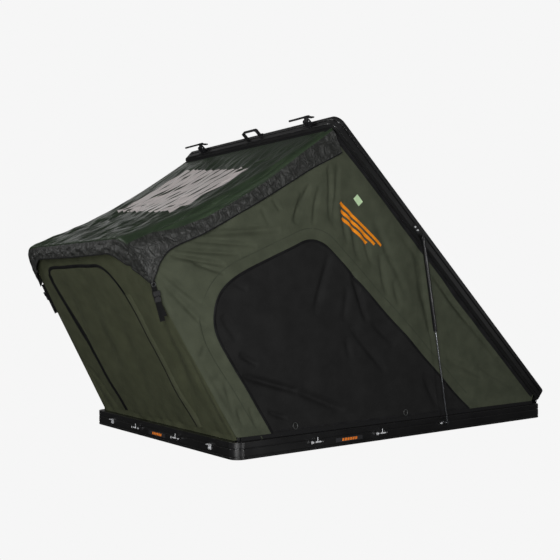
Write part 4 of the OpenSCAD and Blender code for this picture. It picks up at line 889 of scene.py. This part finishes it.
world = bpy.data.worlds.new("studio_surround")
world.use_nodes = True
bpy.context.scene.world = world
tree = world.node_tree
rays = add(tree, "LightPath").outputs
around = add(tree, "Background", {"Color": linear("#ffffff"), "Strength": 0.16}).outputs[0]
mirrored = add(tree, "Background", {"Color": linear("#ffffff"), "Strength": 0.12}).outputs[0]
seen = add(tree, "Background", {"Color": linear("#f6f6f6"), "Strength": 1.0}).outputs[0]
mixed = add(tree, "MixShader", {0: rays["Is Glossy Ray"], 1: around, 2: mirrored}).outputs[0]
mixed = add(tree, "MixShader", {0: rays["Is Camera Ray"], 1: mixed, 2: seen})
tree.links.new(mixed.outputs[0], tree.nodes["World Output"].inputs["Surface"])

# pale to the camera, and darker where the tent mirrors it
floor_look = bpy.data.materials.new("pale_floor")
floor_look.use_nodes = True
tree = floor_look.node_tree
rays = add(tree, "LightPath").outputs
pale = add(tree, "BsdfDiffuse", {"Color": linear("#c8c8c8")}).outputs[0]
mirrored = add(tree, "BsdfDiffuse", {"Color": linear("#545454")}).outputs[0]
seen = add(tree, "Emission", {"Color": linear("#f6f6f6"), "Strength": 1.0}).outputs[0]
mixed = add(tree, "MixShader", {0: rays["Is Glossy Ray"], 1: pale, 2: mirrored}).outputs[0]
mixed = add(tree, "MixShader", {0: rays["Is Camera Ray"], 1: mixed, 2: seen})
tree.links.new(mixed.outputs[0], tree.nodes["Material Output"].inputs["Surface"])
FLOOR_HALF, FLOOR_Z = 40, -0.001
floor_corners = [(sx * FLOOR_HALF, sy * FLOOR_HALF, FLOOR_Z)
                 for sx, sy in ((-1, -1), (1, -1), (1, 1), (-1, 1))]
floor = solid("studio_floor", floor_corners, [(0, 1, 2, 3)], floor_look, None)


def soft_light(name, spot, aim, size, watts):
    """A rectangular area light that the camera doesn't see."""
    lamp = bpy.data.lights.new(name, "AREA")
    lamp.shape, lamp.size, lamp.size_y, lamp.energy = "RECTANGLE", size[0], size[1], watts
    made = bpy.data.objects.new(name, lamp)
    made.location = spot
    made.rotation_euler = (Vector(aim) - Vector(spot)).to_track_quat("-Z", "Y").to_euler()
    made.visible_camera = False
    bpy.context.scene.collection.objects.link(made)


soft_light("key_light", (-4.7, -5.0, 1.4), (-0.5, 0, 0.7), (2.0, 1.8), 245)
soft_light("entry_light", (-5.4, 2.6, 2.8), (-1.2, 0, 0.8), (2.0, 1.6), 68)
soft_light("back_light", (0.4, 4.4, 2.7), (-1.3, 0, 1.0), (2.5, 1.2), 8)
soft_light("side_light", (4.2, -4.0, 0.9), (0.3, -0.7, 0.85), (3.5, 1.6), 3.5)
soft_light("strip_light_entry", (-4.7, -3.0, 0.34), (-1.0, -0.7, 0.1), (0.12, 0.6), 30)
soft_light("strip_light_side", (0.0, -4.7, 0.34), (-1.0, -0.7, 0.1), (0.12, 0.6), 28)

# the camera's place, turn and lens, fitted to the tent's corners and edges in the photograph
CAMERA_SPOT = (-3.2514, -4.0002, 0.7599)
camera = bpy.data.objects.new("camera", bpy.data.cameras.new("camera"))
yaw, pitch, roll = (math.radians(a) for a in (53.5195, 0.5696, -0.3985))
ahead = Vector((math.cos(yaw) * math.cos(pitch), math.sin(yaw) * math.cos(pitch), math.sin(pitch)))
across = Vector((math.sin(yaw), -math.cos(yaw), 0))
above = across.cross(ahead)
across, above = (math.cos(roll) * across + math.sin(roll) * above,
                 math.cos(roll) * above - math.sin(roll) * across)
camera_turn = Matrix((across, above, -ahead)).transposed().to_4x4()
camera.matrix_world = Matrix.Translation(CAMERA_SPOT) @ camera_turn
camera.data.sensor_width = 36
camera.data.lens = 57.2122
camera.data.clip_end = 200
bpy.context.scene.collection.objects.link(camera)
bpy.context.scene.camera = camera
bpy.context.scene.view_settings.view_transform = "Standard"
